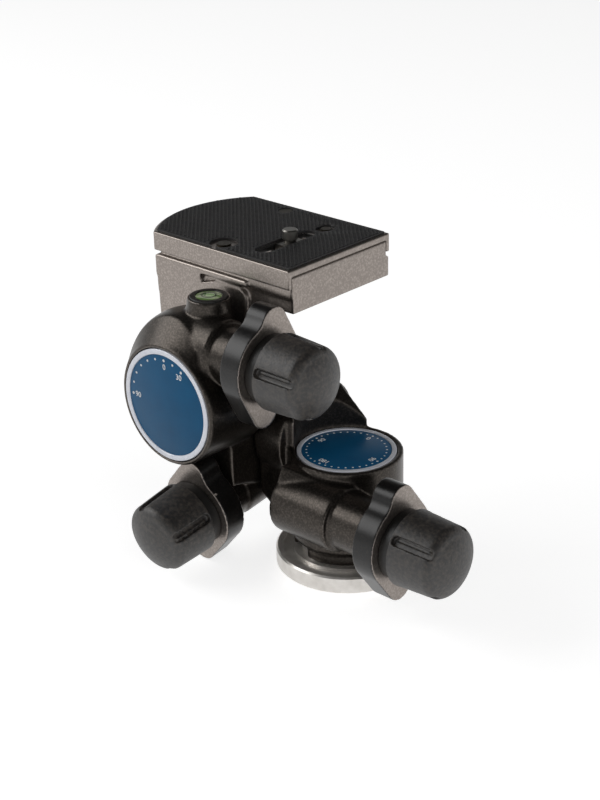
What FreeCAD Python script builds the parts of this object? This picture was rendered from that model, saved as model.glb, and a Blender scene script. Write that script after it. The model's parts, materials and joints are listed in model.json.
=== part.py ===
import FreeCAD, Part

import math
import os

# Geared tripod head with three worm units: pan, front tilt and side tilt.
# Millimetres. Origin at the centre of the base's underside, on the pan axis, +Z up.
# +X runs along the pan knob, -Y along the front tilt knob.

V = FreeCAD.Vector
X, Y, Z = V(1, 0, 0), V(0, 1, 0), V(0, 0, 1)

# ---- worm gear set, the same in all three units ----
MODULE = 0.7
WHEEL_TEETH = 48
WORM_PITCH_R = 5.2
PRESSURE = math.radians(20)
ADDENDUM = 0.9 * MODULE
DEDENDUM = 1.15 * MODULE
BACKLASH = 0.3
WHEEL_WIDTH = 8.0
THREAD_TURNS = 6
FLANK_POINTS = 5

LEAD = math.pi * MODULE
WHEEL_PITCH_R = MODULE * WHEEL_TEETH / 2
WHEEL_R = WHEEL_PITCH_R + ADDENDUM
WORM_R = WORM_PITCH_R + ADDENDUM
WORM_ROOT_R = WORM_PITCH_R - DEDENDUM
CENTRES = WHEEL_PITCH_R + WORM_PITCH_R
TOOTH = LEAD / 2 - BACKLASH / 2
WHEEL_TOP = WHEEL_WIDTH / 2

# ---- clearances ----
RUNNING = 0.05
FREE = 0.3
WHEEL_GAP = 0.57
FLOOR_GAP = 0.05
END_PLAY = 0.1
# A cutter runs this far past the face that it opens
PAST = 1.0
# A shape reaches this far into the one that it grows out of
ROOT = 1.0

# ---- spindle stack, measured from the middle of the wheel towards the dial ----
SPINDLE_R = 9.0
BUSH_WALL = 2.45
WASHER_T = 1.0
WASHER_R = 12.0
THREAD_R = 7.0
NUT_T = 4.0
NUT_FLATS = 20.0
THREAD_SPARE = 0.8
NOSE_R = 4.5
DIAL_GAP = 0.1
DIAL_ROOM = 5.0
DIAL_RIM = 1.6
DIAL_SUNK = 0.3
DIAL_CHAMFER = 0.3
FLOOR = -(WHEEL_TOP + WASHER_T + FLOOR_GAP)
CAVITY_R = WHEEL_R + WHEEL_GAP
BUSH_R = SPINDLE_R + RUNNING + BUSH_WALL

# ---- eccentric sleeve, worm shaft and release lever ----
ECCENTRICITY = 1.85
LEVER_TURN = 50
WORM_CHAMBER_R = WORM_R + 0.12
SLEEVE_WALL = 0.8
SLEEVE_R = WORM_CHAMBER_R + ECCENTRICITY + SLEEVE_WALL
SHAFT_R = 5.0
JOURNAL_R = 3.0
SHOULDER_R = WORM_R - 0.1
WHEEL_ROOM_GAP = 0.42
WHEEL_ROOM_STEPS = 5
THREAD_END = THREAD_TURNS * LEAD / 2 + 0.4
CHAMBER_BACK = -(THREAD_END + 0.5)
CHAMBER_FRONT = THREAD_END + 2.3
REAR_BUSH_T = 2.7
SLEEVE_BACK = CHAMBER_BACK - REAR_BUSH_T
COLLAR_T = 10.0
COLLAR_R = 18.0
COLLAR_GAP = 0.4
WING_REACH = 18.0
WING_TIP_R = 6.8
WING_HOLLOW_R = 9.0
SPRING_WIRE = 1.2
SPRING_R = 10.3
SPRING_PITCH = 1.62
SPRING_TURNS = 2
SPRING_POCKET = 5.0
STOP_SETBACK = 6.0
STOP_R = 1.5
STOP_TIP_R = 1.0
STOP_TIP = 1.0
STOP_PLAY = 0.2
STOP_MARGIN_DEG = 2

# ---- knob ----
KNOB_GAP = 0.3
FLANGE_R = 14.2
FLANGE_T = 4.7
CORE_R = 10.0
CORE_DEPTH = 24.0
SHAFT_DEPTH = 22.0
KNOB_LENGTH = 28.5
GRIP_R = 15.8
GRIP_FRONT_R = 15.0
GRIP_EDGE = 3.5
NOSE_RISE = 1.8
GRIP_SLOTS = 4
SLOT_START = 7.5
SLOT_LENGTH = 21.0
SLOT_WIDTH = 4.0
SLOT_DEPTH = 1.5
RIB_WIDTH = 1.0
RIB_SHIFT = 0.7

# ---- base ----
BASE_R = 30.0
BASE_T = 7.5
BASE_EDGE = 0.7
BASE_NECK_R = 19.2
BASE_GROOVE = (22.8, 27.2, 1.2)
TRIPOD_THREAD_R = 3.97
TRIPOD_THREAD_L = 10.0
PAN_FLANGE_R = 15.0
PAN_FLANGE_T = 3.0
BASE_SCREW_DEG = (30, 150, 270)
BASE_SCREW_PCR = 11.0
BASE_SCREW_R = 2.0
BASE_SCREW_HEAD_R = 3.5
BASE_SCREW_HEAD_T = 4.0
BASE_SCREW_SUNK = 0.5
BASE_SCREW_SHORT = 0.6
BASE_SCREW_GAP = 0.2
BASE_SOCKET_R = 1.5
BASE_SOCKET_END = 2.0

# ---- pan housing and arm ----
PAN_WORM_Z = 33.5
PAN_BOTTOM = 14.0
PAN_TOP = 51.0
PAN_R = 23.3
SKIRT_R = 22.3
SKIRT_IN_R = 19.7
SKIRT_GAP = 0.9
SKIRT_ROOF = 1.0
SKIRT_WINDOWS = (245, 5, 125)
SKIRT_WINDOW_DEG = 34
PAN_WASHER_T = 0.5
APRON_RIGHT = 14.0
APRON_LOW = PAN_WORM_Z - 8.5
APRON_FOOT = PAN_WORM_Z + 3.0
APRON_RIM = (-27.5, PAN_TOP - 0.5)
APRON_END_RIM = (-CENTRES, PAN_WORM_Z + 13.0)
TILT_Y = 5.5
TILT_Z = 50.3
ARM_LEFT = -36.0
ARM_T = 15.0
ARM_R = 23.0
ARM_BORE_REST = 3.0
ARM_COLUMN = (TILT_Y - ARM_R + 2.7, TILT_Y + ARM_R - 6.0)
ARM_COLUMN_RIGHT = -8.0
ARM_WEDGE = (-14.0, 21.0)
ARM_WEDGE_RIGHT = -1.0
ARM_WEDGE_TOPS = (TILT_Z + 15.0, TILT_Z + 17.0)
ARM_SCOOP_GAP = 0.8
ARM_SLANT = (15.0, 11.25)
LOCK_SCREW_R = 2.0
LOCK_SCREW_L = 6.0
NECK_TOP = PAN_BOTTOM - PAN_WASHER_T
ARM_RIGHT = ARM_LEFT + ARM_T
ARM_MIDDLE = ARM_LEFT + ARM_T / 2

# ---- middle housing ----
FRONT_WHEEL_X = -49.0
FRONT_SLOPE = math.radians(8.5)
FRONT_R = 21.5
FRONT_GAP = 0.6
FRONT_WASHER_R = 16.0
SIDE_X = -52.0
SIDE_Y = -33.0
SIDE_Z = 73.0
DRUM_R = 26.0
DRUM_BACK = -18.0
DRUM_EDGE = 0.9
BLOCK_LOW = SIDE_Z + CENTRES - 11.0
BALL = (SIDE_X - 2.0, SIDE_Y, SIDE_Z + 9.0)
BALL_R = 26.9
BALL_START_R = DRUM_R - 1.1
WEB = ((-4, 27), (-30, 33), (-30, 62), (-4, 60))
WEB_T = 23.4
WING_ROOM_GAP = 0.5
LEVEL_X = -48.3
LEVEL_Y = -27.8
LEVEL_FOOT = SIDE_Z + CENTRES + 7.0
LEVEL_TOP = LEVEL_FOOT + 12.5
LEVEL_R = 8.7
LEVEL_BASE_R = 10.4
LEVEL_WALL = 0.9
LEVEL_DEPTH = 6.0
LEVEL_FLOOR = 1.5
LEVEL_PROUD = 0.2
VIAL_R = 6.5

# ---- quick-release plate ----
HEAD_HEIGHT = 130.0
PAD_T = 0.7
PAD_SUNK = 0.3
PAD_INSET = 1.6
PLATE_T = 2.9
SKIRT_DEPTH = 8.0
SKIRT_T = 1.8
PLATE_LEFT = -91.5
PLATE_BULGE = 11.8
PLATE_RIGHT = -14.0
PLATE_BACK = 44.0
RECESS_X = -57.2
RECESS_Y = -9.5
RECESS_R = 6.0
PIN_X = -37.2
PIN_Y = 30.5
PIN_R = 2.2
PIN_COLLAR_R = 2.9
PIN_PROUD = 0.5
PIN_SLOT = (-5.0, 4.0, 7.0)
RIVETS = ((-66.3, 37.0), (RECESS_X, RECESS_Y))
RIVET_R = 2.0
RIVET_HEAD_R = 3.0
RIVET_HEAD_T = 0.8
RIVET_ROOM_R = 3.3
PLATE_TOP = HEAD_HEIGHT - PAD_T
PLATE_UNDER = PLATE_TOP - PLATE_T
SKIRT_LOW = PLATE_TOP - SKIRT_DEPTH

# ---- camera screw and its guide ----
CAMERA_X = -38.8
CAMERA_Y = 10.4
CAMERA_THREAD_R = 3.175
CAMERA_THREAD_L = 4.5
CAMERA_THREAD_EDGE = 0.5
CAMERA_NECK_R = 2.5
CAMERA_HEAD_R = 6.5
CAMERA_HEAD_T = 2.35
COIN_SLOT = (14.0, 1.2, 1.0)
CHANNEL = (9.0, 22.0, 26.0, 4.0)
GUIDE_W = 6.9
GUIDE_L = 11.0
GUIDE_FLANGE_W = 12.0
GUIDE_FLANGE_T = 0.8
GUIDE_DROP = 0.4
GUIDE_TRAVEL = (-12.5, 6.5)
GUIDE_SLOT_W = 7.0
PAD_SLOT_W = 8.0
GUIDE_LOW = PLATE_UNDER - GUIDE_DROP
SLOT_FRONT = CAMERA_Y + GUIDE_TRAVEL[0] - GUIDE_L / 2 - FREE
SLOT_BACK = CAMERA_Y + GUIDE_TRAVEL[1] + GUIDE_L / 2 + FREE

# ---- platform ----
WALL_T = 6.0
WALL_FRONT = DRUM_BACK + 1.0
WALL_BACK = WALL_FRONT + WALL_T
ROTOR_R = 11.0
ROTOR_GAP = 0.6
SWEEP = 60.0
SWEEP_GAP = 0.5
SWEEP_LOW = SIDE_Z - ROTOR_R + 2.0
SQUARE = 10.0
WALL_SCREW_R = 2.5
WALL_SCREW_L = 8.0
WALL_SCREW_HEAD_R = 7.5
WALL_SCREW_HEAD_T = 1.5
WALL_SOCKET_R = 2.0
WALL_SOCKET_START = 0.4
LEDGE_GAP = 1.8
LEDGE_TOP = SKIRT_LOW - LEDGE_GAP
LEDGE_STEP = 1.6
RECEPTACLE_LOW = LEDGE_TOP - 8.8
RECEPTACLE_BACK = PLATE_BACK - 0.5
RECEPTACLE_GAP = 0.1
WALL_SHOULDER_Z = SIDE_Z + ROTOR_R - 0.7
WALL_LEFT = ((PLATE_LEFT + 1.7, 91.0), (PLATE_LEFT + 6.0, WALL_SHOULDER_Z))
WALL_RIGHT = ((SIDE_X + 19.0, 100.0), (SIDE_X + 26.0, RECEPTACLE_LOW))
RELIEF_LEFT = -64.1
RELIEF_TOP = LEDGE_TOP - 2.5
RELIEF_DEPTH = 2.1
TONGUE_TOP = LEDGE_TOP - 3.8
TONGUE_RIGHT = -38.0
TONGUE_CORNER = 4.0
TONGUE_SLOPE = (-55.6, TONGUE_TOP - 2.5)
HOLLOW_LEFT = PLATE_LEFT + 15.5
HOLLOW_WALLS = (2.0, 5.0, 10.0, 4.0)

# ---- clamp lever, its outline seen from above round its pivot, and safety button ----
LEVER_PIVOT = (PLATE_LEFT + 7.5, PLATE_BACK - 9.0)
CLAMP_LOW = RECEPTACLE_LOW + 2.0
CLAMP_T = 6.3
CLAMP_HUB_R = 6.0
CLAMP_PIN_R = 2.0
CLAMP_PIN_TOP = LEDGE_TOP + 4.0
CLAMP_SLOT = 12.0
CLAMP_PLAY = 0.2
CLAMP_OUTLINE = (
    (-3.0, 6.0), (-12.5, -2.0), (-16.0, -17.0), (-14.5, -32.0), (-11.5, -43.0),
    (-8.5, -43.0), (-9.5, -31.0), (-10.0, -17.0), (-7.5, -8.0), (0.0, -5.5),
)
CLAMP_SPRING_R = 3.2
CLAMP_SPRING_WIRE = 0.8
CLAMP_SPRING_PITCH = 0.95
CLAMP_SPRING_TURNS = 2
CLAMP_SPRING_ROOM = (4.4, 3.0)
BUTTON_X = -50.0
BUTTON_Z = RECEPTACLE_LOW + 4.8
BUTTON_R = 3.2
BUTTON_EDGE = 0.4
BUTTON_PROUD = 3.0
BUTTON_HEAD = 4.3
BUTTON_BORE = 7.0
BUTTON_STEM_R = 1.2
BUTTON_STEM = 8.0
BUTTON_STEM_BORE_R = 1.92
BUTTON_STEM_BORE = 11.0


# ---------------------------------------------------------------- plain shapes
def cylinder(radius, base, direction, length):
    return Part.makeCylinder(radius, length, base, direction)


def span(radius, start, end):
    """A cylinder from one point to another."""
    reach = end - start
    return Part.makeCylinder(radius, reach.Length, start, reach)


def box(low, high):
    size = V(*high) - V(*low)
    return Part.makeBox(size.x, size.y, size.z, V(*low))


def ring(outer, inner, start, end):
    return span(outer, start, end).cut(span(inner, start, end))


def fuse(first, *others):
    return first.multiFuse(list(others)).removeSplitter()


def cut(body, *tools):
    for tool in tools:
        body = body.cut(tool)
    return body


def prism(points, direction):
    """A straight extrusion of a closed outline of points."""
    outline = Part.makePolygon(points + points[:1])
    return Part.Face(outline).extrude(direction)


def chamfer_rim(body, amount, centre, axis, radius):
    """Breaks the circular edges of one radius round an axis."""
    rims = []
    for edge in body.Edges:
        curve = edge.Curve
        if not isinstance(curve, Part.Circle) or abs(curve.Radius - radius) > 1e-4:
            continue
        if (curve.Center - centre).cross(axis).Length < 1e-4:
            rims.append(edge)
    return body.makeChamfer(amount, rims) if rims else body


# ---------------------------------------------------------------- worm units
class Unit:
    """One worm unit. Its frame: x along the worm to the knob, y from wheel to worm, z along the wheel.
    Depths run from the middle of the wheel towards the dial; dial_side tells which way that is in z."""

    def __init__(self, name, centre, along, toward, dial_side, **sizes):
        self.name = name
        self.centre = centre
        self.along = along
        self.toward = toward
        self.side = dial_side
        for key, value in sizes.items():
            setattr(self, key, value)
        self.offset = self.swing * ECCENTRICITY
        self.face = self.reach + COLLAR_T

    def place(self, shape):
        turn = FreeCAD.Rotation(self.along, self.toward, self.along.cross(self.toward), "XYZ")
        placed = shape.copy()
        placed.Placement = FreeCAD.Placement(self.centre, turn).multiply(placed.Placement)
        return placed

    def disc(self, radius, low, high):
        """A cylinder on the wheel's axis between two depths."""
        return span(radius, V(0, 0, self.side * low), V(0, 0, self.side * high))

    def rod(self, radius, start, end):
        """A cylinder on the worm's axis."""
        return span(radius, V(start, CENTRES, 0), V(end, CENTRES, 0))

    def sleeve(self, radius, start, end):
        """A cylinder on the axis of the eccentric sleeve."""
        return span(radius, V(start, CENTRES, self.offset), V(end, CENTRES, self.offset))

    def on_sleeve(self, shape):
        """Lays a shape made round +Z along the sleeve's axis, its own x towards local y."""
        laid = shape.copy()
        turn = FreeCAD.Placement(V(0, CENTRES, self.offset), FreeCAD.Rotation(Y, Z, X, "XYZ"))
        laid.Placement = turn.multiply(laid.Placement)
        return laid


PAN = Unit(
    "pan", V(0, 0, PAN_WORM_Z), X, -Y, -1,
    reach=37.5, swing=1, barrel_r=13.7, barrel_back=-10.8, neck_start=18.6, neck_r=12.2, neck_shift=0.8,
    back=PAN_BOTTOM - PAN_WORM_Z, dial=PAN_TOP - PAN_WORM_Z, dial_r=20.6, dial_t=6.5,
    wing_deg=-92, wing_hand=-1, slot_deg=-36,
)
FRONT = Unit(
    "front", V(FRONT_WHEEL_X, TILT_Y, TILT_Z),
    V(0, -math.cos(FRONT_SLOPE), -math.sin(FRONT_SLOPE)),
    V(0, math.sin(FRONT_SLOPE), -math.cos(FRONT_SLOPE)), -1,
    reach=39.0, swing=-1, barrel_r=12.4, barrel_back=-12.6, neck_start=29.0, neck_r=11.6, neck_shift=0.0,
    back=FRONT_WHEEL_X - ARM_LEFT + FRONT_GAP, dial=12.0, dial_r=19.5, dial_t=1.2,
    wing_deg=177, wing_hand=1, slot_deg=112,
)
SIDE = Unit(
    "side", V(SIDE_X, SIDE_Y, SIDE_Z), X, Z, 1,
    reach=32.0, swing=1, barrel_r=13.7, barrel_back=-3.0, neck_start=19.0, neck_r=12.2, neck_shift=0.8,
    back=SIDE_Y - DRUM_BACK, dial=18.0, dial_r=23.9, dial_t=6.5,
    wing_deg=-11, wing_hand=-1, slot_deg=72,
)
UNITS = (PAN, FRONT, SIDE)


def involute(angle):
    return math.tan(angle) - angle


def worm_wheel(unit):
    """Bronze wheel whose teeth lean by the worm's lead angle, with a tooth centred on local y."""
    base_r = WHEEL_PITCH_R * math.cos(PRESSURE)
    rise = (ADDENDUM + DEDENDUM) / (FLANK_POINTS - 1)
    radii = [WHEEL_PITCH_R - DEDENDUM + step * rise for step in range(FLANK_POINTS)]
    half = TOOTH / (2 * WHEEL_PITCH_R) + involute(PRESSURE)
    flank = [(radius, half - involute(math.acos(base_r / radius))) for radius in radii]
    lean = LEAD / (2 * math.pi * WORM_PITCH_R * WHEEL_PITCH_R)

    def section(height):
        points = []
        for tooth in range(WHEEL_TEETH):
            middle = math.pi / 2 + 2 * math.pi * tooth / WHEEL_TEETH + lean * height
            for radius, angle in [(r, -a) for r, a in flank] + flank[::-1]:
                turn = middle + angle
                points.append(V(radius * math.cos(turn), radius * math.sin(turn), height))
        return Part.makePolygon(points + points[:1])

    teeth = Part.makeLoft([section(-WHEEL_TOP), section(WHEEL_TOP)], True, True)
    return teeth.cut(unit.disc(SPINDLE_R, -WHEEL_TOP - PAST, WHEEL_TOP + PAST))


def worm(unit):
    """Single-start worm, its journals and the shaft that carries the knob."""
    start = -THREAD_TURNS * LEAD / 2
    half_root = TOOTH / 2 + DEDENDUM * math.tan(PRESSURE)
    half_tip = TOOTH / 2 - ADDENDUM * math.tan(PRESSURE)
    sunk = WORM_ROOT_R - END_PLAY
    helix = Part.Wire(Part.makeHelix(LEAD, THREAD_TURNS * LEAD, WORM_PITCH_R))
    corners = [V(sunk, 0, -half_root), V(WORM_R, 0, -half_tip), V(WORM_R, 0, half_tip), V(sunk, 0, half_root)]
    profile = Part.makePolygon(corners + corners[:1])
    thread = helix.makePipeShell([profile], True, True)
    thread.Placement = FreeCAD.Placement(V(start, CENTRES, 0), FreeCAD.Rotation(Y, Z, X, "XYZ"))
    thread = thread.common(unit.rod(WORM_R + PAST, -THREAD_END, THREAD_END))
    shoulder = CHAMBER_FRONT - END_PLAY
    return fuse(
        unit.rod(WORM_ROOT_R, CHAMBER_BACK + END_PLAY, THREAD_END),
        thread,
        unit.rod(SHOULDER_R, THREAD_END, shoulder),
        unit.rod(JOURNAL_R, SLEEVE_BACK + END_PLAY, CHAMBER_BACK + END_PLAY),
        unit.rod(SHAFT_R, shoulder, unit.face + SHAFT_DEPTH),
    )


def worm_bush(unit):
    return unit.rod(WORM_CHAMBER_R, SLEEVE_BACK, CHAMBER_BACK).cut(
        unit.rod(JOURNAL_R + RUNNING, SLEEVE_BACK, CHAMBER_BACK))


def wing_outline(unit):
    """The collar seen from the knob: a disc with two wings, each with a full flank and a hollow one."""
    def polar(radius, angle, centre=(0.0, 0.0)):
        return centre[0] + radius * math.cos(angle), centre[1] + radius * math.sin(angle)

    tip = (WING_REACH, 0.0)
    lean = math.acos((COLLAR_R - WING_TIP_R) / WING_REACH)
    near, far = COLLAR_R + WING_HOLLOW_R, WING_TIP_R + WING_HOLLOW_R
    along = (WING_REACH ** 2 + near ** 2 - far ** 2) / (2 * WING_REACH)
    hollow = (along, -math.sqrt(near ** 2 - along ** 2))
    root = math.atan2(hollow[1], hollow[0])
    side = math.atan2(hollow[1], hollow[0] - WING_REACH)
    to_tip, to_disc = side + math.pi, root + math.pi
    bottom = (root + lean - math.pi) / 2
    half = [
        ("line", polar(COLLAR_R, lean), polar(WING_TIP_R, lean, tip)),
        ("arc", polar(WING_TIP_R, lean, tip), polar(WING_TIP_R, (lean + side) / 2, tip),
         polar(WING_TIP_R, side, tip)),
        ("arc", polar(WING_TIP_R, side, tip), polar(WING_HOLLOW_R, (to_tip + to_disc) / 2, hollow),
         polar(COLLAR_R, root)),
        ("arc", polar(COLLAR_R, root), polar(COLLAR_R, bottom), polar(COLLAR_R, lean - math.pi)),
    ]

    def point(place, turn):
        u, v = place[0], place[1] * unit.wing_hand
        angle = math.radians(unit.wing_deg) + turn
        y = u * math.cos(angle) - v * math.sin(angle)
        z = u * math.sin(angle) + v * math.cos(angle)
        return V(unit.reach, CENTRES + y, z)

    edges = []
    for turn in (0, math.pi):
        for kind, *places in half:
            spots = [point(place, turn) for place in places]
            curve = Part.LineSegment(*spots) if kind == "line" else Part.Arc(*spots)
            edges.append(curve.toShape())
    return Part.Wire(edges)


def stop_groove(unit):
    """The slot that the stop screw's tip runs in while the sleeve turns."""
    width = 2 * (STOP_TIP_R + STOP_PLAY)
    margin = math.degrees(STOP_TIP_R / SLEEVE_R) + STOP_MARGIN_DEG
    start = 180 - margin - (LEVER_TURN if unit.swing > 0 else 0)
    sector = Part.makeCylinder(SLEEVE_R + PAST, width, V(0, 0, 0), Z, LEVER_TURN + 2 * margin)
    sector = sector.cut(cylinder(SLEEVE_R - STOP_TIP - STOP_PLAY, V(0, 0, 0), Z, width))
    sector.rotate(V(0, 0, 0), Z, start)
    sector.translate(V(0, 0, unit.reach - STOP_SETBACK - width / 2))
    return unit.on_sleeve(sector)


def lever(unit):
    """Release lever: winged collar and eccentric sleeve in one piece, open where the wheel reaches in."""
    collar = Part.Face(wing_outline(unit)).extrude(V(COLLAR_T, 0, 0))
    body = fuse(collar, unit.sleeve(SLEEVE_R, SLEEVE_BACK, unit.reach + ROOT))
    pocket = unit.sleeve(SPRING_R + SPRING_WIRE / 2 + FREE, unit.reach, unit.reach + SPRING_POCKET).cut(
        unit.sleeve(SLEEVE_R, unit.reach, unit.reach + SPRING_POCKET))
    depth = WHEEL_TOP + WHEEL_ROOM_GAP
    wheel_room = unit.disc(WHEEL_R + WHEEL_ROOM_GAP, -depth, depth)
    rooms = []
    for step in range(WHEEL_ROOM_STEPS):
        room = wheel_room.copy()
        turn = LEVER_TURN * step / (WHEEL_ROOM_STEPS - 1)
        room.rotate(V(0, CENTRES, unit.offset), X, -unit.swing * turn)
        rooms.append(room)
    return cut(
        body, pocket, stop_groove(unit),
        unit.rod(WORM_CHAMBER_R, SLEEVE_BACK, CHAMBER_FRONT),
        unit.rod(SHAFT_R + RUNNING, CHAMBER_FRONT, unit.face),
        *rooms,
    )


def square_coil(radius, wire, pitch, turns):
    """A coil of square wire round +Z that starts at the origin's height."""
    half = wire / 2
    helix = Part.Wire(Part.makeHelix(pitch, turns * pitch, radius))
    corners = [V(radius + x * half, 0, z * half) for x, z in ((-1, -1), (1, -1), (1, 1), (-1, 1))]
    profile = Part.makePolygon(corners + corners[:1])
    return helix.makePipeShell([profile], True, True)


def lever_spring(unit):
    """Torsion spring in the collar's pocket."""
    coil = square_coil(SPRING_R, SPRING_WIRE, SPRING_PITCH, SPRING_TURNS)
    coil.translate(V(0, 0, unit.reach + (SPRING_POCKET - SPRING_TURNS * SPRING_PITCH) / 2))
    return unit.on_sleeve(coil)


def stop_screw(unit):
    """Grub screw through the neck, its tip in the sleeve's groove."""
    place = unit.reach - STOP_SETBACK
    skin = CENTRES - unit.neck_shift - unit.neck_r + FREE
    seat = CENTRES - SLEEVE_R - RUNNING
    return fuse(
        span(STOP_R, V(place, skin, unit.offset), V(place, seat, unit.offset)),
        span(STOP_TIP_R, V(place, seat, unit.offset), V(place, seat + RUNNING + STOP_TIP, unit.offset)),
    )


def knob_core(unit):
    start = unit.face + KNOB_GAP
    body = fuse(
        unit.rod(FLANGE_R, start, start + FLANGE_T),
        unit.rod(CORE_R, start + FLANGE_T, unit.face + CORE_DEPTH),
    )
    return body.cut(unit.rod(SHAFT_R, start, unit.face + SHAFT_DEPTH))


def knob_grip(unit):
    """Rubber grip: slightly tapered, with a rounded edge, a low nose and slots that each hold a rib."""
    start = unit.face + KNOB_GAP + FLANGE_T
    tip = unit.face + KNOB_LENGTH
    corner = tip - NOSE_RISE - GRIP_EDGE
    flat_r = GRIP_FRONT_R - GRIP_EDGE
    bow = GRIP_EDGE * math.sqrt(0.5)
    nose_r = (flat_r ** 2 + NOSE_RISE ** 2) / (2 * NOSE_RISE)
    half_way = math.asin(flat_r / nose_r) / 2
    profile = Part.Wire([
        Part.makeLine(V(start, 0, 0), V(start, GRIP_R, 0)),
        Part.makeLine(V(start, GRIP_R, 0), V(corner, GRIP_FRONT_R, 0)),
        Part.Arc(V(corner, GRIP_FRONT_R, 0), V(corner + bow, flat_r + bow, 0),
                 V(corner + GRIP_EDGE, flat_r, 0)).toShape(),
        Part.Arc(V(corner + GRIP_EDGE, flat_r, 0),
                 V(tip - nose_r * (1 - math.cos(half_way)), nose_r * math.sin(half_way), 0),
                 V(tip, 0, 0)).toShape(),
        Part.makeLine(V(tip, 0, 0), V(start, 0, 0)),
    ])
    body = Part.Face(profile).revolve(V(0, 0, 0), X, 360)
    body = body.cut(span(CORE_R, V(start, 0, 0), V(unit.face + CORE_DEPTH, 0, 0)))
    first = unit.face + SLOT_START
    last = first + SLOT_LENGTH - SLOT_WIDTH
    top = GRIP_R + PAST
    floor = GRIP_FRONT_R - SLOT_DEPTH
    slot = fuse(
        box((first, -SLOT_WIDTH / 2, floor), (last, SLOT_WIDTH / 2, top)),
        cylinder(SLOT_WIDTH / 2, V(first, 0, floor), Z, top - floor),
        cylinder(SLOT_WIDTH / 2, V(last, 0, floor), Z, top - floor),
    )
    slot = slot.cut(box((first, RIB_SHIFT - RIB_WIDTH / 2, floor - PAST),
                        (last, RIB_SHIFT + RIB_WIDTH / 2, floor + SLOT_DEPTH / 2)))
    for number in range(GRIP_SLOTS):
        groove = slot.copy()
        groove.rotate(V(0, 0, 0), X, 360 * number / GRIP_SLOTS + unit.slot_deg - 90)
        body = body.cut(groove)
    body.translate(V(0, CENTRES, 0))
    return body


def spindle(unit, tail):
    """Shank, threaded end and nose; the tail is the depth where the shank begins."""
    thread_end = WHEEL_TOP + NUT_T + THREAD_SPARE
    return fuse(
        unit.disc(SPINDLE_R, tail, WHEEL_TOP),
        unit.disc(THREAD_R, WHEEL_TOP, thread_end),
        unit.disc(NOSE_R, thread_end, unit.dial - unit.dial_t),
    )


def spindle_nut(unit):
    corner = NUT_FLATS / math.sqrt(3)
    points = [V(corner * math.cos(math.radians(a)), corner * math.sin(math.radians(a)), unit.side * WHEEL_TOP)
              for a in range(0, 360, 60)]
    return prism(points, V(0, 0, unit.side * NUT_T)).cut(unit.disc(THREAD_R, WHEEL_TOP, WHEEL_TOP + NUT_T))


def bush(unit):
    return unit.disc(BUSH_R, unit.back, FLOOR).cut(unit.disc(SPINDLE_R + RUNNING, unit.back, FLOOR))


def thrust_washer(unit):
    low = -WHEEL_TOP - WASHER_T
    return unit.disc(WASHER_R, low, -WHEEL_TOP).cut(unit.disc(SPINDLE_R + RUNNING, low, -WHEEL_TOP))


def dial_plate(unit):
    """Aluminium plate, its face sunk inside a raised rim."""
    body = unit.disc(unit.dial_r, unit.dial - unit.dial_t, unit.dial)
    body = chamfer_rim(body, DIAL_CHAMFER, V(0, 0, unit.side * unit.dial), Z, unit.dial_r)
    return body.cut(unit.disc(unit.dial_r - DIAL_RIM, unit.dial - DIAL_SUNK, unit.dial + PAST))


def barrel(unit):
    """The outside of the worm barrel, with the slimmer neck that the collar turns on."""
    neck = span(unit.neck_r, V(unit.neck_start - ROOT, CENTRES - unit.neck_shift, 0),
                V(unit.reach - COLLAR_GAP, CENTRES - unit.neck_shift, 0))
    return fuse(unit.rod(unit.barrel_r, unit.barrel_back, unit.neck_start), neck)


def unit_room(unit):
    """Everything that a housing leaves open for its worm unit."""
    dial_seat = unit.dial - unit.dial_t - DIAL_GAP
    screw_x = unit.reach - STOP_SETBACK
    skin = CENTRES - unit.neck_shift - unit.neck_r
    return fuse(
        unit.disc(CAVITY_R, FLOOR, dial_seat),
        unit.disc(unit.dial_r + FREE, dial_seat, unit.dial + DIAL_ROOM),
        unit.disc(BUSH_R, unit.back - PAST, FLOOR),
        unit.sleeve(SLEEVE_R + RUNNING, SLEEVE_BACK - FREE, unit.reach + PAST),
        span(STOP_R, V(screw_x, skin - PAST, unit.offset), V(screw_x, CENTRES - SLEEVE_R / 2, unit.offset)),
    )


# ---------------------------------------------------------------- base
def base_plate():
    inner, outer, depth = BASE_GROOVE
    body = span(BASE_R, V(0, 0, 0), V(0, 0, BASE_T))
    body = chamfer_rim(body, BASE_EDGE, V(0, 0, 0), Z, BASE_R)
    body = fuse(body, span(BASE_NECK_R, V(0, 0, BASE_T - ROOT), V(0, 0, NECK_TOP)))
    groove = ring(outer, inner, V(0, 0, BASE_T - depth), V(0, 0, BASE_T + PAST))
    seat = span(PAN_FLANGE_R, V(0, 0, NECK_TOP - PAN_FLANGE_T), V(0, 0, NECK_TOP + PAST))
    thread = span(TRIPOD_THREAD_R, V(0, 0, -PAST), V(0, 0, TRIPOD_THREAD_L))
    holes = []
    for place in base_screw_places():
        holes.append(span(BASE_SCREW_R, place - Z * PAST, place + Z * NECK_TOP))
        holes.append(span(BASE_SCREW_HEAD_R + BASE_SCREW_GAP, place - Z * PAST, place + Z * BASE_SCREW_HEAD_T))
    return cut(body, groove, seat, thread, *holes)


def base_screw_places():
    angles = [math.radians(degrees) for degrees in BASE_SCREW_DEG]
    return [V(BASE_SCREW_PCR * math.cos(angle), BASE_SCREW_PCR * math.sin(angle), 0) for angle in angles]


def base_screws():
    """Three socket screws from below into the spindle's flange."""
    screws = []
    for place in base_screw_places():
        seat = place + Z * BASE_SCREW_HEAD_T
        head = span(BASE_SCREW_HEAD_R, place + Z * BASE_SCREW_SUNK, seat)
        shank = span(BASE_SCREW_R, seat, place + Z * (NECK_TOP - BASE_SCREW_SHORT))
        socket = span(BASE_SOCKET_R, place, place + Z * BASE_SOCKET_END)
        screws.append(fuse(head, shank).cut(socket))
    return Part.makeCompound(screws)


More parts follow.
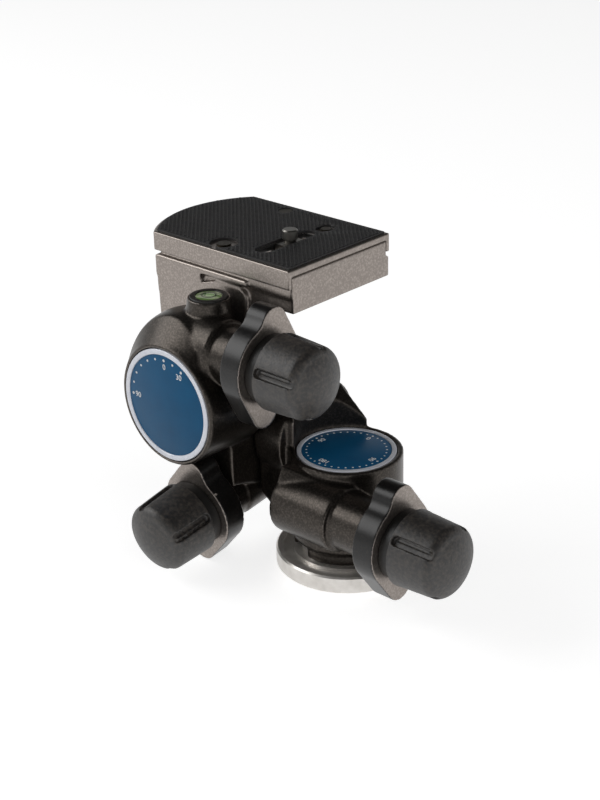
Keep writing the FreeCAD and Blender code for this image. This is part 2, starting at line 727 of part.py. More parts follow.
def pan_spindle():
    shank = PAN.place(spindle(PAN, NECK_TOP - PAN_WORM_Z))
    flange = span(PAN_FLANGE_R, V(0, 0, NECK_TOP - PAN_FLANGE_T), V(0, 0, NECK_TOP))
    top = Z * (NECK_TOP - BASE_SCREW_SHORT)
    holes = [span(BASE_SCREW_R, place, place + top) for place in base_screw_places()]
    return cut(fuse(shank, flange), *holes)


def pan_running_washer():
    return ring(PAN_FLANGE_R, SPINDLE_R + RUNNING, V(0, 0, NECK_TOP), V(0, 0, PAN_BOTTOM - FLOOR_GAP))


# ---------------------------------------------------------------- pan housing
def pan_skirt():
    """Low skirt between housing and base, with arched windows."""
    low = BASE_T + SKIRT_GAP
    height = PAN_BOTTOM - SKIRT_ROOF - low
    body = ring(SKIRT_R, SKIRT_IN_R, V(0, 0, low), V(0, 0, PAN_BOTTOM + ROOT))
    for angle in SKIRT_WINDOWS:
        window = Part.makeCylinder(SKIRT_R + PAST, height, V(0, 0, low), Z, SKIRT_WINDOW_DEG)
        window.rotate(V(0, 0, 0), Z, angle - SKIRT_WINDOW_DEG / 2)
        body = body.cut(window)
    return body


def pan_apron():
    """Web from the worm barrel up to the dial rim, wide at the blind end and narrow at the knob end."""
    front = -CENTRES - PAN.barrel_r * 0.95

    def section(x, rim_y, rim_z):
        points = [V(x, front, APRON_FOOT), V(x, rim_y, rim_z), V(x, 0, rim_z), V(x, 0, APRON_LOW)]
        return Part.makePolygon(points + points[:1])

    ends = [section(PAN.barrel_back, *APRON_RIM), section(APRON_RIGHT, *APRON_END_RIM)]
    return Part.makeLoft(ends, True, True)


def pan_arm():
    """Arm for the front tilt spindle, blended down into the housing and scooped round the dial."""
    left, right = V(ARM_LEFT, TILT_Y, TILT_Z), V(ARM_RIGHT, TILT_Y, TILT_Z)
    column_front, column_back = ARM_COLUMN
    column = box((ARM_LEFT, column_front, PAN_BOTTOM), (ARM_COLUMN_RIGHT, column_back, TILT_Z))
    wedge_front, wedge_back = ARM_WEDGE
    left_top, right_top = ARM_WEDGE_TOPS
    outline = [(ARM_LEFT, PAN_BOTTOM), (ARM_LEFT, left_top), (ARM_RIGHT, right_top),
               (ARM_WEDGE_RIGHT, PAN_TOP), (ARM_WEDGE_RIGHT, PAN_BOTTOM)]
    wedge = prism([V(x, wedge_front, z) for x, z in outline], Y * (wedge_back - wedge_front))
    end = V(ARM_WEDGE_RIGHT, TILT_Y, TILT_Z)
    lower = box((ARM_LEFT, wedge_front, PAN_BOTTOM), (ARM_WEDGE_RIGHT, wedge_back, TILT_Z))
    wedge = wedge.common(fuse(span(ARM_R, left, end), lower))
    scoop = span(PAN.dial_r + ARM_SCOOP_GAP, V(0, 0, PAN_TOP), V(0, 0, PAN_TOP + 2 * ARM_R))
    across, up = ARM_SLANT
    slant = prism([V(ARM_LEFT, -ARM_R, PAN_BOTTOM), V(ARM_LEFT + across, -ARM_R, PAN_BOTTOM),
                   V(ARM_LEFT, -ARM_R, PAN_BOTTOM + up)], Y * 3 * ARM_R)
    return cut(fuse(span(ARM_R, left, right), column, wedge), scoop, slant)


def pan_housing():
    top = V(0, 0, PAN_TOP)
    body = fuse(
        span(PAN_R, V(0, 0, PAN_BOTTOM), top),
        pan_skirt(), PAN.place(barrel(PAN)), pan_apron(), pan_arm(),
    )
    spindle_bore = span(SPINDLE_R, V(ARM_LEFT - PAST, TILT_Y, TILT_Z),
                        V(ARM_RIGHT - ARM_BORE_REST, TILT_Y, TILT_Z))
    lock_bore = span(LOCK_SCREW_R, V(ARM_MIDDLE, TILT_Y + SPINDLE_R - PAST, TILT_Z),
                     V(ARM_MIDDLE, TILT_Y + ARM_R + PAST, TILT_Z))
    return cut(body, PAN.place(unit_room(PAN)), spindle_bore, lock_bore)


def front_spindle():
    return FRONT.place(spindle(FRONT, FRONT_WHEEL_X - ARM_RIGHT + ARM_BORE_REST))


def front_lock_screw():
    inner = V(ARM_MIDDLE, TILT_Y + SPINDLE_R, TILT_Z)
    return span(LOCK_SCREW_R, inner, inner + Y * LOCK_SCREW_L)


def front_running_washer():
    start = V(ARM_LEFT, TILT_Y, TILT_Z)
    end = V(ARM_LEFT - FRONT_GAP + FLOOR_GAP, TILT_Y, TILT_Z)
    return ring(FRONT_WASHER_R, SPINDLE_R + RUNNING, end, start)


# ---------------------------------------------------------------- middle housing
def side_ball():
    """Ball between the drum and the worm barrel; a cone trims it so that it flows out of the dial's ring."""
    front = SIDE_Y - SIDE.dial
    depth = DRUM_BACK - front
    ball = Part.makeSphere(BALL_R, V(*BALL))
    cone = Part.makeCone(BALL_START_R, BALL_START_R + depth, depth, V(SIDE_X, front, SIDE_Z), Y)
    return ball.common(cone)


def side_drum():
    """Drum of the side tilt wheel, with the ball and the block above it that carry the worm barrel."""
    front = V(SIDE_X, SIDE_Y - SIDE.dial, SIDE_Z)
    drum = span(DRUM_R, front, V(SIDE_X, DRUM_BACK, SIDE_Z))
    drum = chamfer_rim(drum, DRUM_EDGE, front, Y, DRUM_R)
    block = box((SIDE_X + SIDE.barrel_back, SIDE_Y - SIDE.barrel_r, BLOCK_LOW),
                (SIDE_X + SIDE.neck_start, SIDE_Y + SIDE.barrel_r, SIDE_Z + CENTRES))
    return fuse(drum, side_ball(), block, SIDE.place(barrel(SIDE)))


def level_boss():
    return Part.makeCone(LEVEL_BASE_R, LEVEL_R, LEVEL_TOP - LEVEL_FOOT, V(LEVEL_X, LEVEL_Y, LEVEL_FOOT), Z)


def middle_housing():
    right = ARM_LEFT - FRONT_GAP
    shell = span(FRONT_R, V(right, TILT_Y, TILT_Z), V(FRONT_WHEEL_X - FRONT.dial, TILT_Y, TILT_Z))
    web = prism([V(right, y, z) for y, z in WEB], -X * WEB_T)
    body = fuse(side_drum(), level_boss(), shell, FRONT.place(barrel(FRONT)), web)
    swept = WALL_BACK + SWEEP_GAP
    rotor_room = span(ROTOR_R + ROTOR_GAP, V(SIDE_X, DRUM_BACK, SIDE_Z), V(SIDE_X, swept, SIDE_Z))
    level_seat = span(LEVEL_R - LEVEL_WALL, V(LEVEL_X, LEVEL_Y, LEVEL_TOP - LEVEL_DEPTH),
                      V(LEVEL_X, LEVEL_Y, LEVEL_TOP + PAST))
    sweep_room = box((SIDE_X - SWEEP, DRUM_BACK, SWEEP_LOW), (SIDE_X + SWEEP, swept, SIDE_Z + SWEEP))
    wing_room = FRONT.sleeve(WING_REACH + WING_TIP_R + WING_ROOM_GAP,
                             FRONT.reach - COLLAR_GAP, FRONT.face + COLLAR_GAP)
    return cut(
        body, rotor_room, level_seat, sweep_room, FRONT.place(wing_room),
        SIDE.place(unit_room(SIDE)), FRONT.place(unit_room(FRONT)),
    )


def level_bezel():
    low = V(LEVEL_X, LEVEL_Y, LEVEL_TOP - LEVEL_DEPTH)
    body = span(LEVEL_R - LEVEL_WALL, low, low + Z * (LEVEL_DEPTH + LEVEL_PROUD))
    return body.cut(span(VIAL_R, low + Z * LEVEL_FLOOR, low + Z * (LEVEL_DEPTH + PAST)))


def level_vial():
    low = V(LEVEL_X, LEVEL_Y, LEVEL_TOP - LEVEL_DEPTH)
    return span(VIAL_R, low + Z * LEVEL_FLOOR, low + Z * (LEVEL_DEPTH - LEVEL_PROUD))


# ---------------------------------------------------------------- platform
def platform_wall():
    """Upright wall: a shield that narrows to the rotor on the side tilt spindle."""
    outline = [
        (PLATE_LEFT, LEDGE_TOP), *WALL_LEFT, (SIDE_X, WALL_SHOULDER_Z), (SIDE_X, SIDE_Z),
        (SIDE_X + ROTOR_R, SIDE_Z), *WALL_RIGHT, (PLATE_RIGHT, RECEPTACLE_LOW), (PLATE_RIGHT, LEDGE_TOP),
    ]
    shield = prism([V(x, WALL_FRONT, z) for x, z in outline], Y * WALL_T)
    rotor = span(ROTOR_R, V(SIDE_X, WALL_FRONT, SIDE_Z), V(SIDE_X, WALL_BACK, SIDE_Z))
    return fuse(shield, rotor)


def wall_relief():
    """Shallow step in the front of the wall, over and beside a tongue with a round corner, and a
    shallower one in the ledge above it, which lets the side release lever's wing past."""
    front, floor = WALL_FRONT - PAST, WALL_FRONT + RELIEF_DEPTH
    low = SIDE_Z + ROTOR_R
    corner_x, corner_z = TONGUE_RIGHT - TONGUE_CORNER, TONGUE_TOP - TONGUE_CORNER
    slope_x, slope_z = TONGUE_SLOPE
    outline = [(TONGUE_RIGHT, low), (TONGUE_RIGHT, corner_z), (corner_x, corner_z), (corner_x, TONGUE_TOP),
               (slope_x, TONGUE_TOP), (RELIEF_LEFT, slope_z), (RELIEF_LEFT, low)]
    tongue = fuse(
        prism([V(x, front, z) for x, z in outline], Y * (floor - front)),
        span(TONGUE_CORNER, V(corner_x, front, corner_z), V(corner_x, floor, corner_z)),
    )
    step = box((RELIEF_LEFT, front, low), (PLATE_RIGHT + PAST, floor, RELIEF_TOP)).cut(tongue)
    ledge_step = box((TONGUE_RIGHT, front, RELIEF_TOP),
                     (PLATE_RIGHT + PAST, WALL_FRONT + LEDGE_STEP, LEDGE_TOP + PAST))
    return fuse(step, ledge_step)


def square_bar(start, end):
    half = SQUARE / 2
    return box((SIDE_X - half, start, SIDE_Z - half), (SIDE_X + half, end, SIDE_Z + half))


def platform():
    edge = SKIRT_T + RECEPTACLE_GAP
    ledge = box((PLATE_LEFT, WALL_FRONT, RECEPTACLE_LOW), (PLATE_RIGHT, RECEPTACLE_BACK, LEDGE_TOP))
    block = box((PLATE_LEFT + SKIRT_T, WALL_FRONT + edge, LEDGE_TOP - ROOT),
                (PLATE_RIGHT, PLATE_BACK - edge, PLATE_UNDER))
    front_wall, right_wall, back_wall, roof = HOLLOW_WALLS
    hollow = box((HOLLOW_LEFT, WALL_BACK + front_wall, RECEPTACLE_LOW - PAST),
                 (PLATE_RIGHT - right_wall, RECEPTACLE_BACK - back_wall, PLATE_UNDER - roof))
    left, pivot_y = LEVER_PIVOT
    lever_slot = box((PLATE_LEFT - PAST, pivot_y - CLAMP_SLOT, CLAMP_LOW - CLAMP_PLAY),
                     (left + CLAMP_HUB_R + PAST, RECEPTACLE_BACK + PAST, CLAMP_LOW + CLAMP_T + CLAMP_PLAY))
    pin_bore = span(CLAMP_PIN_R, V(left, pivot_y, RECEPTACLE_LOW - PAST), V(left, pivot_y, CLAMP_PIN_TOP))
    mouth = V(BUTTON_X, RECEPTACLE_BACK, BUTTON_Z)
    button_bore = fuse(
        span(BUTTON_R + RUNNING, mouth - Y * BUTTON_BORE, mouth + Y * PAST),
        span(BUTTON_STEM_BORE_R, mouth - Y * BUTTON_STEM_BORE, mouth),
    )
    half, reach_front, reach_back, depth = CHANNEL
    channel = box((CAMERA_X - half, CAMERA_Y - reach_front, PLATE_UNDER - depth),
                  (CAMERA_X + half, CAMERA_Y + reach_back, PLATE_UNDER + PAST))
    seat = V(SIDE_X, WALL_BACK - WALL_SCREW_HEAD_T, SIDE_Z)
    square_hole = square_bar(WALL_FRONT - PAST, seat.y)
    head_seat = span(WALL_SCREW_HEAD_R, seat, seat + Y * (WALL_SCREW_HEAD_T + PAST))
    return cut(
        fuse(platform_wall(), ledge, block),
        wall_relief(), hollow, lever_slot, pin_bore, button_bore, channel, square_hole, head_seat,
    )


def side_spindle():
    shank = SIDE.place(spindle(SIDE, SIDE_Y - WALL_FRONT))
    body = fuse(shank, square_bar(WALL_FRONT, WALL_BACK - WALL_SCREW_HEAD_T))
    screw_end = V(SIDE_X, WALL_FRONT - WALL_SCREW_L, SIDE_Z)
    return body.cut(span(WALL_SCREW_R, screw_end, V(SIDE_X, WALL_BACK, SIDE_Z)))


def wall_screw():
    """Screw from the back of the wall into the side tilt spindle."""
    seat = V(SIDE_X, WALL_BACK - WALL_SCREW_HEAD_T, SIDE_Z)
    head = span(WALL_SCREW_HEAD_R, seat, seat + Y * WALL_SCREW_HEAD_T)
    shank = span(WALL_SCREW_R, V(SIDE_X, WALL_FRONT - WALL_SCREW_L, SIDE_Z), seat)
    socket = span(WALL_SOCKET_R, seat + Y * WALL_SOCKET_START, seat + Y * (WALL_SCREW_HEAD_T + PAST))
    return fuse(head, shank).cut(socket)


def side_running_washer():
    low = V(SIDE_X, DRUM_BACK + FLOOR_GAP, SIDE_Z)
    high = V(SIDE_X, WALL_FRONT, SIDE_Z)
    return ring(ROTOR_R, SPINDLE_R + RUNNING, low, high)


def on_pivot(height):
    """A point on the clamp lever's axis."""
    left, pivot_y = LEVER_PIVOT
    return V(left, pivot_y, height)


def clamp_lever():
    """Plate clamp lever: hub in the receptacle's corner, handle along the plate's curved edge."""
    top = CLAMP_LOW + CLAMP_T
    room_r, room_depth = CLAMP_SPRING_ROOM
    hub = span(CLAMP_HUB_R, on_pivot(CLAMP_LOW), on_pivot(top))
    handle = prism([on_pivot(CLAMP_LOW) + V(x, y, 0) for x, y in CLAMP_OUTLINE], Z * CLAMP_T)
    pin = span(CLAMP_PIN_R + RUNNING, on_pivot(CLAMP_LOW - PAST), on_pivot(top + PAST))
    spring_room = span(room_r, on_pivot(top - room_depth), on_pivot(top + PAST))
    return cut(fuse(hub, handle), pin, spring_room)


def clamp_pin():
    return span(CLAMP_PIN_R, on_pivot(RECEPTACLE_LOW), on_pivot(CLAMP_PIN_TOP))


def clamp_spring():
    """Torsion spring round the clamp lever's pin."""
    room_depth = CLAMP_SPRING_ROOM[1]
    coil = square_coil(CLAMP_SPRING_R, CLAMP_SPRING_WIRE, CLAMP_SPRING_PITCH, CLAMP_SPRING_TURNS)
    coil.translate(on_pivot(CLAMP_LOW + CLAMP_T - room_depth + CLAMP_SPRING_WIRE / 2 + CLAMP_PLAY))
    return coil


def safety_button():
    mouth = V(BUTTON_X, RECEPTACLE_BACK, BUTTON_Z)
    face = mouth + Y * BUTTON_PROUD
    head = chamfer_rim(span(BUTTON_R, mouth - Y * BUTTON_HEAD, face), BUTTON_EDGE, face, Y, BUTTON_R)
    return fuse(head, span(BUTTON_STEM_R, mouth - Y * BUTTON_STEM, mouth - Y * BUTTON_HEAD))


# ---------------------------------------------------------------- plate
def plate_outline(inset, height):
    """Plan of the plate: three straight sides and a bowed left one."""
    left, right = PLATE_LEFT + inset * 0.6, PLATE_RIGHT - inset
    front, back = WALL_FRONT + inset, PLATE_BACK - inset
    middle = (front + back) / 2
    bow = V(PLATE_LEFT - PLATE_BULGE + inset, middle, height)
    return Part.Wire([
        Part.makeLine(V(left, front, height), V(right, front, height)),
        Part.makeLine(V(right, front, height), V(right, back, height)),
        Part.makeLine(V(right, back, height), V(left, back, height)),
        Part.Arc(V(left, back, height), bow, V(left, front, height)).toShape(),
    ])


def slab(inset, low, high):
    return Part.Face(plate_outline(inset, low)).extrude(Z * (high - low))


def long_slot(x, y_low, y_high, width, low, high):
    """A slot along Y with round ends."""
    half = width / 2
    return fuse(
        box((x - half, y_low + half, low), (x + half, y_high - half, high)),
        span(half, V(x, y_low + half, low), V(x, y_low + half, high)),
        span(half, V(x, y_high - half, low), V(x, y_high - half, high)),
    )


def plate():
    low, high = PLATE_UNDER - PAST, PLATE_TOP + PAST
    body = slab(0, SKIRT_LOW, PLATE_TOP)
    inside = slab(SKIRT_T, SKIRT_LOW - PAST, PLATE_UNDER)
    right_open = box((PLATE_RIGHT - 2 * SKIRT_T, WALL_FRONT + SKIRT_T, SKIRT_LOW - PAST),
                     (PLATE_RIGHT + PAST, PLATE_BACK - SKIRT_T, PLATE_UNDER))
    pad_seat = slab(PAD_INSET, PLATE_TOP - PAD_SUNK, high)
    guide_slot = box((CAMERA_X - GUIDE_SLOT_W / 2, SLOT_FRONT, low),
                     (CAMERA_X + GUIDE_SLOT_W / 2, SLOT_BACK, high))
    pin_bore = span(PIN_R, V(PIN_X, PIN_Y, low), V(PIN_X, PIN_Y, high))
    rivet_bores = [span(RIVET_R, V(x, y, low), V(x, y, high)) for x, y in RIVETS]
    return cut(body, inside, right_open, pad_seat, guide_slot, pin_bore, *rivet_bores)


def plate_pad():
    """Rubber top of the plate, open at the slot, the pin and the recess."""
    low, high = PLATE_TOP - PAD_SUNK - PAST, HEAD_HEIGHT + PAST
    front, back, width = PIN_SLOT
    rivet_x, rivet_y = RIVETS[0]
    return cut(
        slab(PAD_INSET, PLATE_TOP - PAD_SUNK, HEAD_HEIGHT),
        long_slot(CAMERA_X, SLOT_FRONT - PAST, SLOT_BACK + PAST, PAD_SLOT_W, low, high),
        long_slot(PIN_X, PIN_Y + front, PIN_Y + back, width, low, high),
        span(RECESS_R, V(RECESS_X, RECESS_Y, low), V(RECESS_X, RECESS_Y, high)),
        span(RIVET_ROOM_R, V(rivet_x, rivet_y, low), V(rivet_x, rivet_y, high)),
    )


def plate_pins():
    """Two rivets that hold the pad to the plate, and the pin that keeps a camera from twisting."""
    low = PLATE_TOP - PAD_SUNK
    pins = []
    for x, y in RIVETS:
        head = span(RIVET_HEAD_R, V(x, y, low), V(x, y, low + RIVET_HEAD_T))
        pins.append(fuse(head, span(RIVET_R, V(x, y, PLATE_UNDER), V(x, y, low))))
    pins.append(fuse(
        span(PIN_R, V(PIN_X, PIN_Y, PLATE_UNDER), V(PIN_X, PIN_Y, PLATE_TOP + PIN_PROUD)),
        span(PIN_COLLAR_R, V(PIN_X, PIN_Y, low), V(PIN_X, PIN_Y, PLATE_TOP)),
    ))
    return Part.makeCompound(pins)


def on_camera_screw(height):
    """A point on the camera screw's axis."""
    return V(CAMERA_X, CAMERA_Y, height)


def guide_bar(width, low, high):
    return box((CAMERA_X - width / 2, CAMERA_Y - GUIDE_L / 2, low),
               (CAMERA_X + width / 2, CAMERA_Y + GUIDE_L / 2, high))


def screw_guide():
    """Sliding guide that carries the camera screw along the slot; its bore runs on the screw's neck."""
    flange_low = GUIDE_LOW - GUIDE_FLANGE_T
    body = fuse(
        guide_bar(GUIDE_W, GUIDE_LOW, PLATE_TOP - PAD_SUNK),
        guide_bar(GUIDE_FLANGE_W, flange_low, GUIDE_LOW),
    )
    bore = span(CAMERA_NECK_R + RUNNING, on_camera_screw(flange_low - PAST), on_camera_screw(PLATE_TOP))
    return body.cut(bore)


def camera_screw():
    """Coin-slotted head under the guide, a neck through it, and the thread that stands out of the plate."""
    seat = GUIDE_LOW - GUIDE_FLANGE_T - FLOOR_GAP
    low = seat - CAMERA_HEAD_T
    top = on_camera_screw(HEAD_HEIGHT + CAMERA_THREAD_L)
    thread = span(CAMERA_THREAD_R, on_camera_screw(HEAD_HEIGHT), top)
    thread = chamfer_rim(thread, CAMERA_THREAD_EDGE, top, Z, CAMERA_THREAD_R)
    length, width, depth = COIN_SLOT
    coin_slot = box((CAMERA_X - length / 2, CAMERA_Y - width / 2, low - PAST),
                    (CAMERA_X + length / 2, CAMERA_Y + width / 2, low + depth))
    return fuse(
        span(CAMERA_HEAD_R, on_camera_screw(low), on_camera_screw(seat)),
        span(CAMERA_NECK_R, on_camera_screw(seat), on_camera_screw(HEAD_HEIGHT)),
        thread,
    ).cut(coin_slot)


# ---------------------------------------------------------------- the whole head
UNIT_PIECES = {
    "worm_wheel": worm_wheel,
    "spindle_nut": spindle_nut,
    "bush": bush,
    "thrust_washer": thrust_washer,
    "dial_plate": dial_plate,
    "worm": worm,
    "worm_bush": worm_bush,
    "release_lever": lever,
    "lever_spring": lever_spring,
    "stop_screw": stop_screw,
    "knob_core": knob_core,
    "knob_grip": knob_grip,
}
SINGLE_PIECES = {
    "base_plate": base_plate,
    "base_screws": base_screws,
    "pan_spindle": pan_spindle,
    "pan_running_washer": pan_running_washer,
    "pan_housing": pan_housing,
    "front_spindle": front_spindle,
    "front_lock_screw": front_lock_screw,
    "front_running_washer": front_running_washer,
    "middle_housing": middle_housing,
    "level_bezel": level_bezel,
    "level_vial": level_vial,
    "side_spindle": side_spindle,
    "side_running_washer": side_running_washer,
    "wall_screw": wall_screw,
    "platform": platform,
    "clamp_lever": clamp_lever,
    "clamp_pin": clamp_pin,
    "clamp_spring": clamp_spring,
    "safety_button": safety_button,
    "plate": plate,
    "plate_pad": plate_pad,
    "plate_pins": plate_pins,
    "screw_guide": screw_guide,
    "camera_screw": camera_screw,
}


def main():
    os.makedirs("parts", exist_ok=True)
    for name, make in SINGLE_PIECES.items():
        make().exportStep(f"parts/{name}.step")
    for unit in UNITS:
        for name, make in UNIT_PIECES.items():
            unit.place(make(unit)).exportStep(f"parts/{unit.name}_{name}.step")


main()
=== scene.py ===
"""A geared tripod head: three worm-geared axes, release collars, dials, a bubble level and a camera plate.

The CAD frame gives every part its place. This add-on gives the castings their soft edges, builds the grips,
dials, level and pad in full detail, and lights and frames the head. Lengths are in metres, in the CAD frame.
"""

import json
import math

import bmesh
import bpy
from mathutils import Matrix, Vector

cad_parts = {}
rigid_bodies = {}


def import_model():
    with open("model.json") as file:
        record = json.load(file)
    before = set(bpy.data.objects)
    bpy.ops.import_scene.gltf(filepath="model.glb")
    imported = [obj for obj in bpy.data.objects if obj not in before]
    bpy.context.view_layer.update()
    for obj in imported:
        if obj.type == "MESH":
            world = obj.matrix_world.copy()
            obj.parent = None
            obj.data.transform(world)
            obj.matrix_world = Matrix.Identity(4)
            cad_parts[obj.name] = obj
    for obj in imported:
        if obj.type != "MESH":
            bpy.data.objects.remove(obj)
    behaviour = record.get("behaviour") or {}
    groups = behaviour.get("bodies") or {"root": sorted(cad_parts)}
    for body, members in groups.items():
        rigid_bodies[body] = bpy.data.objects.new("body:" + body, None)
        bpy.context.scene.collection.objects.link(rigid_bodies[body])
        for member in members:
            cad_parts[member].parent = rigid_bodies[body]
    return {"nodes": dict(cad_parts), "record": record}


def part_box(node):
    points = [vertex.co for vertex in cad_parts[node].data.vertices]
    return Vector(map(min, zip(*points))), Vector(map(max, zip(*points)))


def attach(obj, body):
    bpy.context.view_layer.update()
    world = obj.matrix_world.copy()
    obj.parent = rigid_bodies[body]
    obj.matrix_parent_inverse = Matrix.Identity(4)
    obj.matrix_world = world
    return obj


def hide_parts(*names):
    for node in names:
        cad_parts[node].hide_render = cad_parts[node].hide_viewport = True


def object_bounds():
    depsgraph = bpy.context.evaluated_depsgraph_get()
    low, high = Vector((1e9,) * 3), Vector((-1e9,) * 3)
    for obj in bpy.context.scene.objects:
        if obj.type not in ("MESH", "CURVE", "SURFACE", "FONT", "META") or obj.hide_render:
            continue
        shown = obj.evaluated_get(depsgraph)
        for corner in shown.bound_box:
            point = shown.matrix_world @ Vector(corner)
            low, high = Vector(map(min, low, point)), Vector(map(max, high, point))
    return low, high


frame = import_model()
CAD_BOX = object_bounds()
NODES = frame["nodes"]
BODY_OF = {node: body for body, nodes in frame["record"]["behaviour"]["bodies"].items() for node in nodes}
UNITS = ("pan", "front", "side")

bl_info = {
    "name": "Geared tripod head",
    "version": (1, 0, 0),
    "blender": (4, 5, 0),
    "location": "View3D > Sidebar > Tripod head",
    "description": "Builds the finish and the fine detail of a geared tripod head on its CAD frame",
    "category": "Object",
}

MM = 0.001
TOUCH = 0.01 * MM   # two heights closer than this count as one


# ---------------------------------------- colours and sizes
def colour(text):
    """Linear RGB of an sRGB hex value."""
    values = [int(text[i:i + 2], 16) / 255 for i in (1, 3, 5)]
    return tuple(v / 12.92 if v <= 0.04045 else ((v + 0.055) / 1.055) ** 2.4 for v in values)


def tint(rgb):
    """The same colour with the alpha that a colour socket needs."""
    return (*rgb[:3], 1.0)


def colour_choice(name, text, description):
    """A colour that the user can change in the panel."""
    return bpy.props.FloatVectorProperty(name=name, description=description, subtype="COLOR", size=3,
                                         min=0.0, max=1.0, default=colour(text))


def length_choice(name, millimetres, description):
    """A length that the user can change in the panel."""
    return bpy.props.FloatProperty(name=name, description=description, unit="LENGTH", precision=5,
                                   min=0.0, default=millimetres * MM)


class HeadColours(bpy.types.PropertyGroup):
    """Colours of the head's finishes."""
    # The dark and pale coats are one coat in two copies: the dark copy stands in for the shade the housings
    # sit in, and the pale copy for the light on the flats of platform, plate and wing faces.
    coat: colour_choice("Dark coat", "#3b3733", "Charcoal metallic coat of the two housings")
    shaded_fleck: colour_choice("Dark coat fleck", "#544e49", "Paler grains in the charcoal coat")
    lit_coat: colour_choice("Pale coat", "#8b837d", "Warm grey metallic coat of platform, plate and wings")
    lit_fleck: colour_choice("Pale coat fleck", "#a89f98", "Paler grains in the warm grey coat")
    collar_coat: colour_choice("Collar coat", "#0d0c0c", "Black coat on the sides of the release collars")
    collar_fleck: colour_choice("Collar fleck", "#1f1c1a", "Paler grains in the black coat")
    rubber: colour_choice("Grip rubber", "#1f1d1c", "Moulded rubber of the knobs")
    rubber_bloom: colour_choice("Rubber bloom", "#3f3a35", "Bloom on the moulded rubber")
    pad: colour_choice("Pad rubber", "#141416", "Rubber of the plate's pad")
    dial: colour_choice("Dial blue", "#065e8c", "Anodised blue of the dials")
    rim: colour_choice("Dial rim", "#eceef5", "Bright rim of the dials")
    print_ink: colour_choice("Dial print", "#f2f4f6", "White print on the dials")
    spirit: colour_choice("Level spirit", "#3f6a3a", "Green spirit in the bubble level")
    aluminium: colour_choice("Bare aluminium", "#efebe6", "Turned aluminium of the base")


class HeadSizes(bpy.types.PropertyGroup):
    """Sizes of the head's fine detail."""
    cast_voxel: length_choice("Casting grid", 0.62, "Grid that the castings' soft edges are worked out on")
    collar_voxel: length_choice("Collar grid", 0.42, "Grid that the collars' soft edges are worked out on")
    grip_voxel: length_choice("Grip grid", 0.36, "Grid that the rubber grips' soft edges are worked out on")
    nose_drop: length_choice("Grip nose", 2.6, "How far the rim of a grip's nose lies behind its middle")
    dial_rim: length_choice("Dial rim", 2.3, "Width of the bright rim of a dial of 24 mm radius")
    dial_dot: length_choice("Dial dot", 0.5, "Radius of a printed dot")
    number_height: length_choice("Dial number", 3.3, "Height of a printed number")
    rib_pitch: length_choice("Pad pitch", 1.65, "Distance between the pad's raised diamonds")
    rib_height: length_choice("Pad relief", 0.35, "Height of the pad's raised diamonds")


class HeadSettings(bpy.types.PropertyGroup):
    """All that the user can change on the head."""
    colours: bpy.props.PointerProperty(name="Colours", description="Colours of the finishes",
                                       type=HeadColours)
    sizes: bpy.props.PointerProperty(name="Sizes", description="Sizes of the fine detail", type=HeadSizes)


# ---------------------------------------- materials
# Sizes of the patterns. Detail finer than about half a millimetre doesn't show where the whole head is in
# view, so what is marked coarse is drawn larger than on the real part, whose size its comment gives.
COAT_GRAIN = 0.8 * MM        # coarse: the metallic grains of a powder coat are about 0.2 mm
COAT_PEEL = 1.1 * MM         # waves in the skin of a powder coat
PEEL_DEPTH = 0.12 * MM
BLOOM_SPECK = 1.5 * MM       # specks of bloom on rubber
RUBBER_PORE = 0.9 * MM       # coarse: the pores of moulded rubber are about 0.2 mm
PORE_DEPTH = 0.2 * MM
TURNING_FEED = 0.5 * MM      # coarse: a lathe's finishing cut moves about 0.1 mm a turn
RING_DEPTH = 0.03 * MM
HANDLING_CLOUD = 5 * MM      # dull patches that fingers leave on bare aluminium
TOOL_MARK = 1.2 * MM         # coarse: tool marks are about 0.2 mm apart
STAIN_CLOUD = 4 * MM         # uneven tint of plated and bearing metal
SPARK_GRAIN = 0.5 * MM       # coarse: the grain of a spark-eroded mould is about 0.1 mm
GRAIN_DEPTH = 0.05 * MM
DYE_CLOUD = 9 * MM           # uneven depth of the dye in the anodised skin
ETCH_GRAIN = 0.7 * MM        # coarse: the etched grain under the dye is about 0.1 mm
CAP_RIPPLE = 2 * MM          # slight waves in the level's moulded cap
SPIRIT_DARK = 2.6 * MM       # radius to which the spirit stays dark
SPIRIT_BRIGHT = 6.4 * MM     # radius at which it is brightest
WAVE_PERIOD = 0.31           # a wave texture of scale 1 repeats after this length
# A colour Mix node's sockets share their names with those of other types, so they are picked by number.
MIX_FACTOR, MIX_A, MIX_B, MIX_RESULT = 0, 6, 7, 2


def add_node(tree, kind, settings=None, inputs=None):
    """Adds a node, with its settings, and its inputs as values or as sockets to link from."""
    node = tree.nodes.new(kind)
    for name, value in (settings or {}).items():
        setattr(node, name, value)
    for name, value in (inputs or {}).items():
        if isinstance(value, bpy.types.NodeSocket):
            tree.links.new(value, node.inputs[name])
        else:
            node.inputs[name].default_value = value
    return node


def new_material(name):
    """An empty material, its node tree, and its pattern coordinates in metres."""
    material = bpy.data.materials.new(name)
    material.use_nodes = True
    tree = material.node_tree
    tree.nodes.clear()
    place = add_node(tree, "ShaderNodeTexCoord").outputs["Object"]
    return material, tree, place


def finish_material(material, inputs):
    """Ends a material in one Principled shader."""
    tree = material.node_tree
    shader = add_node(tree, "ShaderNodeBsdfPrincipled", inputs=inputs)
    add_node(tree, "ShaderNodeOutputMaterial", inputs={"Surface": shader.outputs["BSDF"]})
    return material


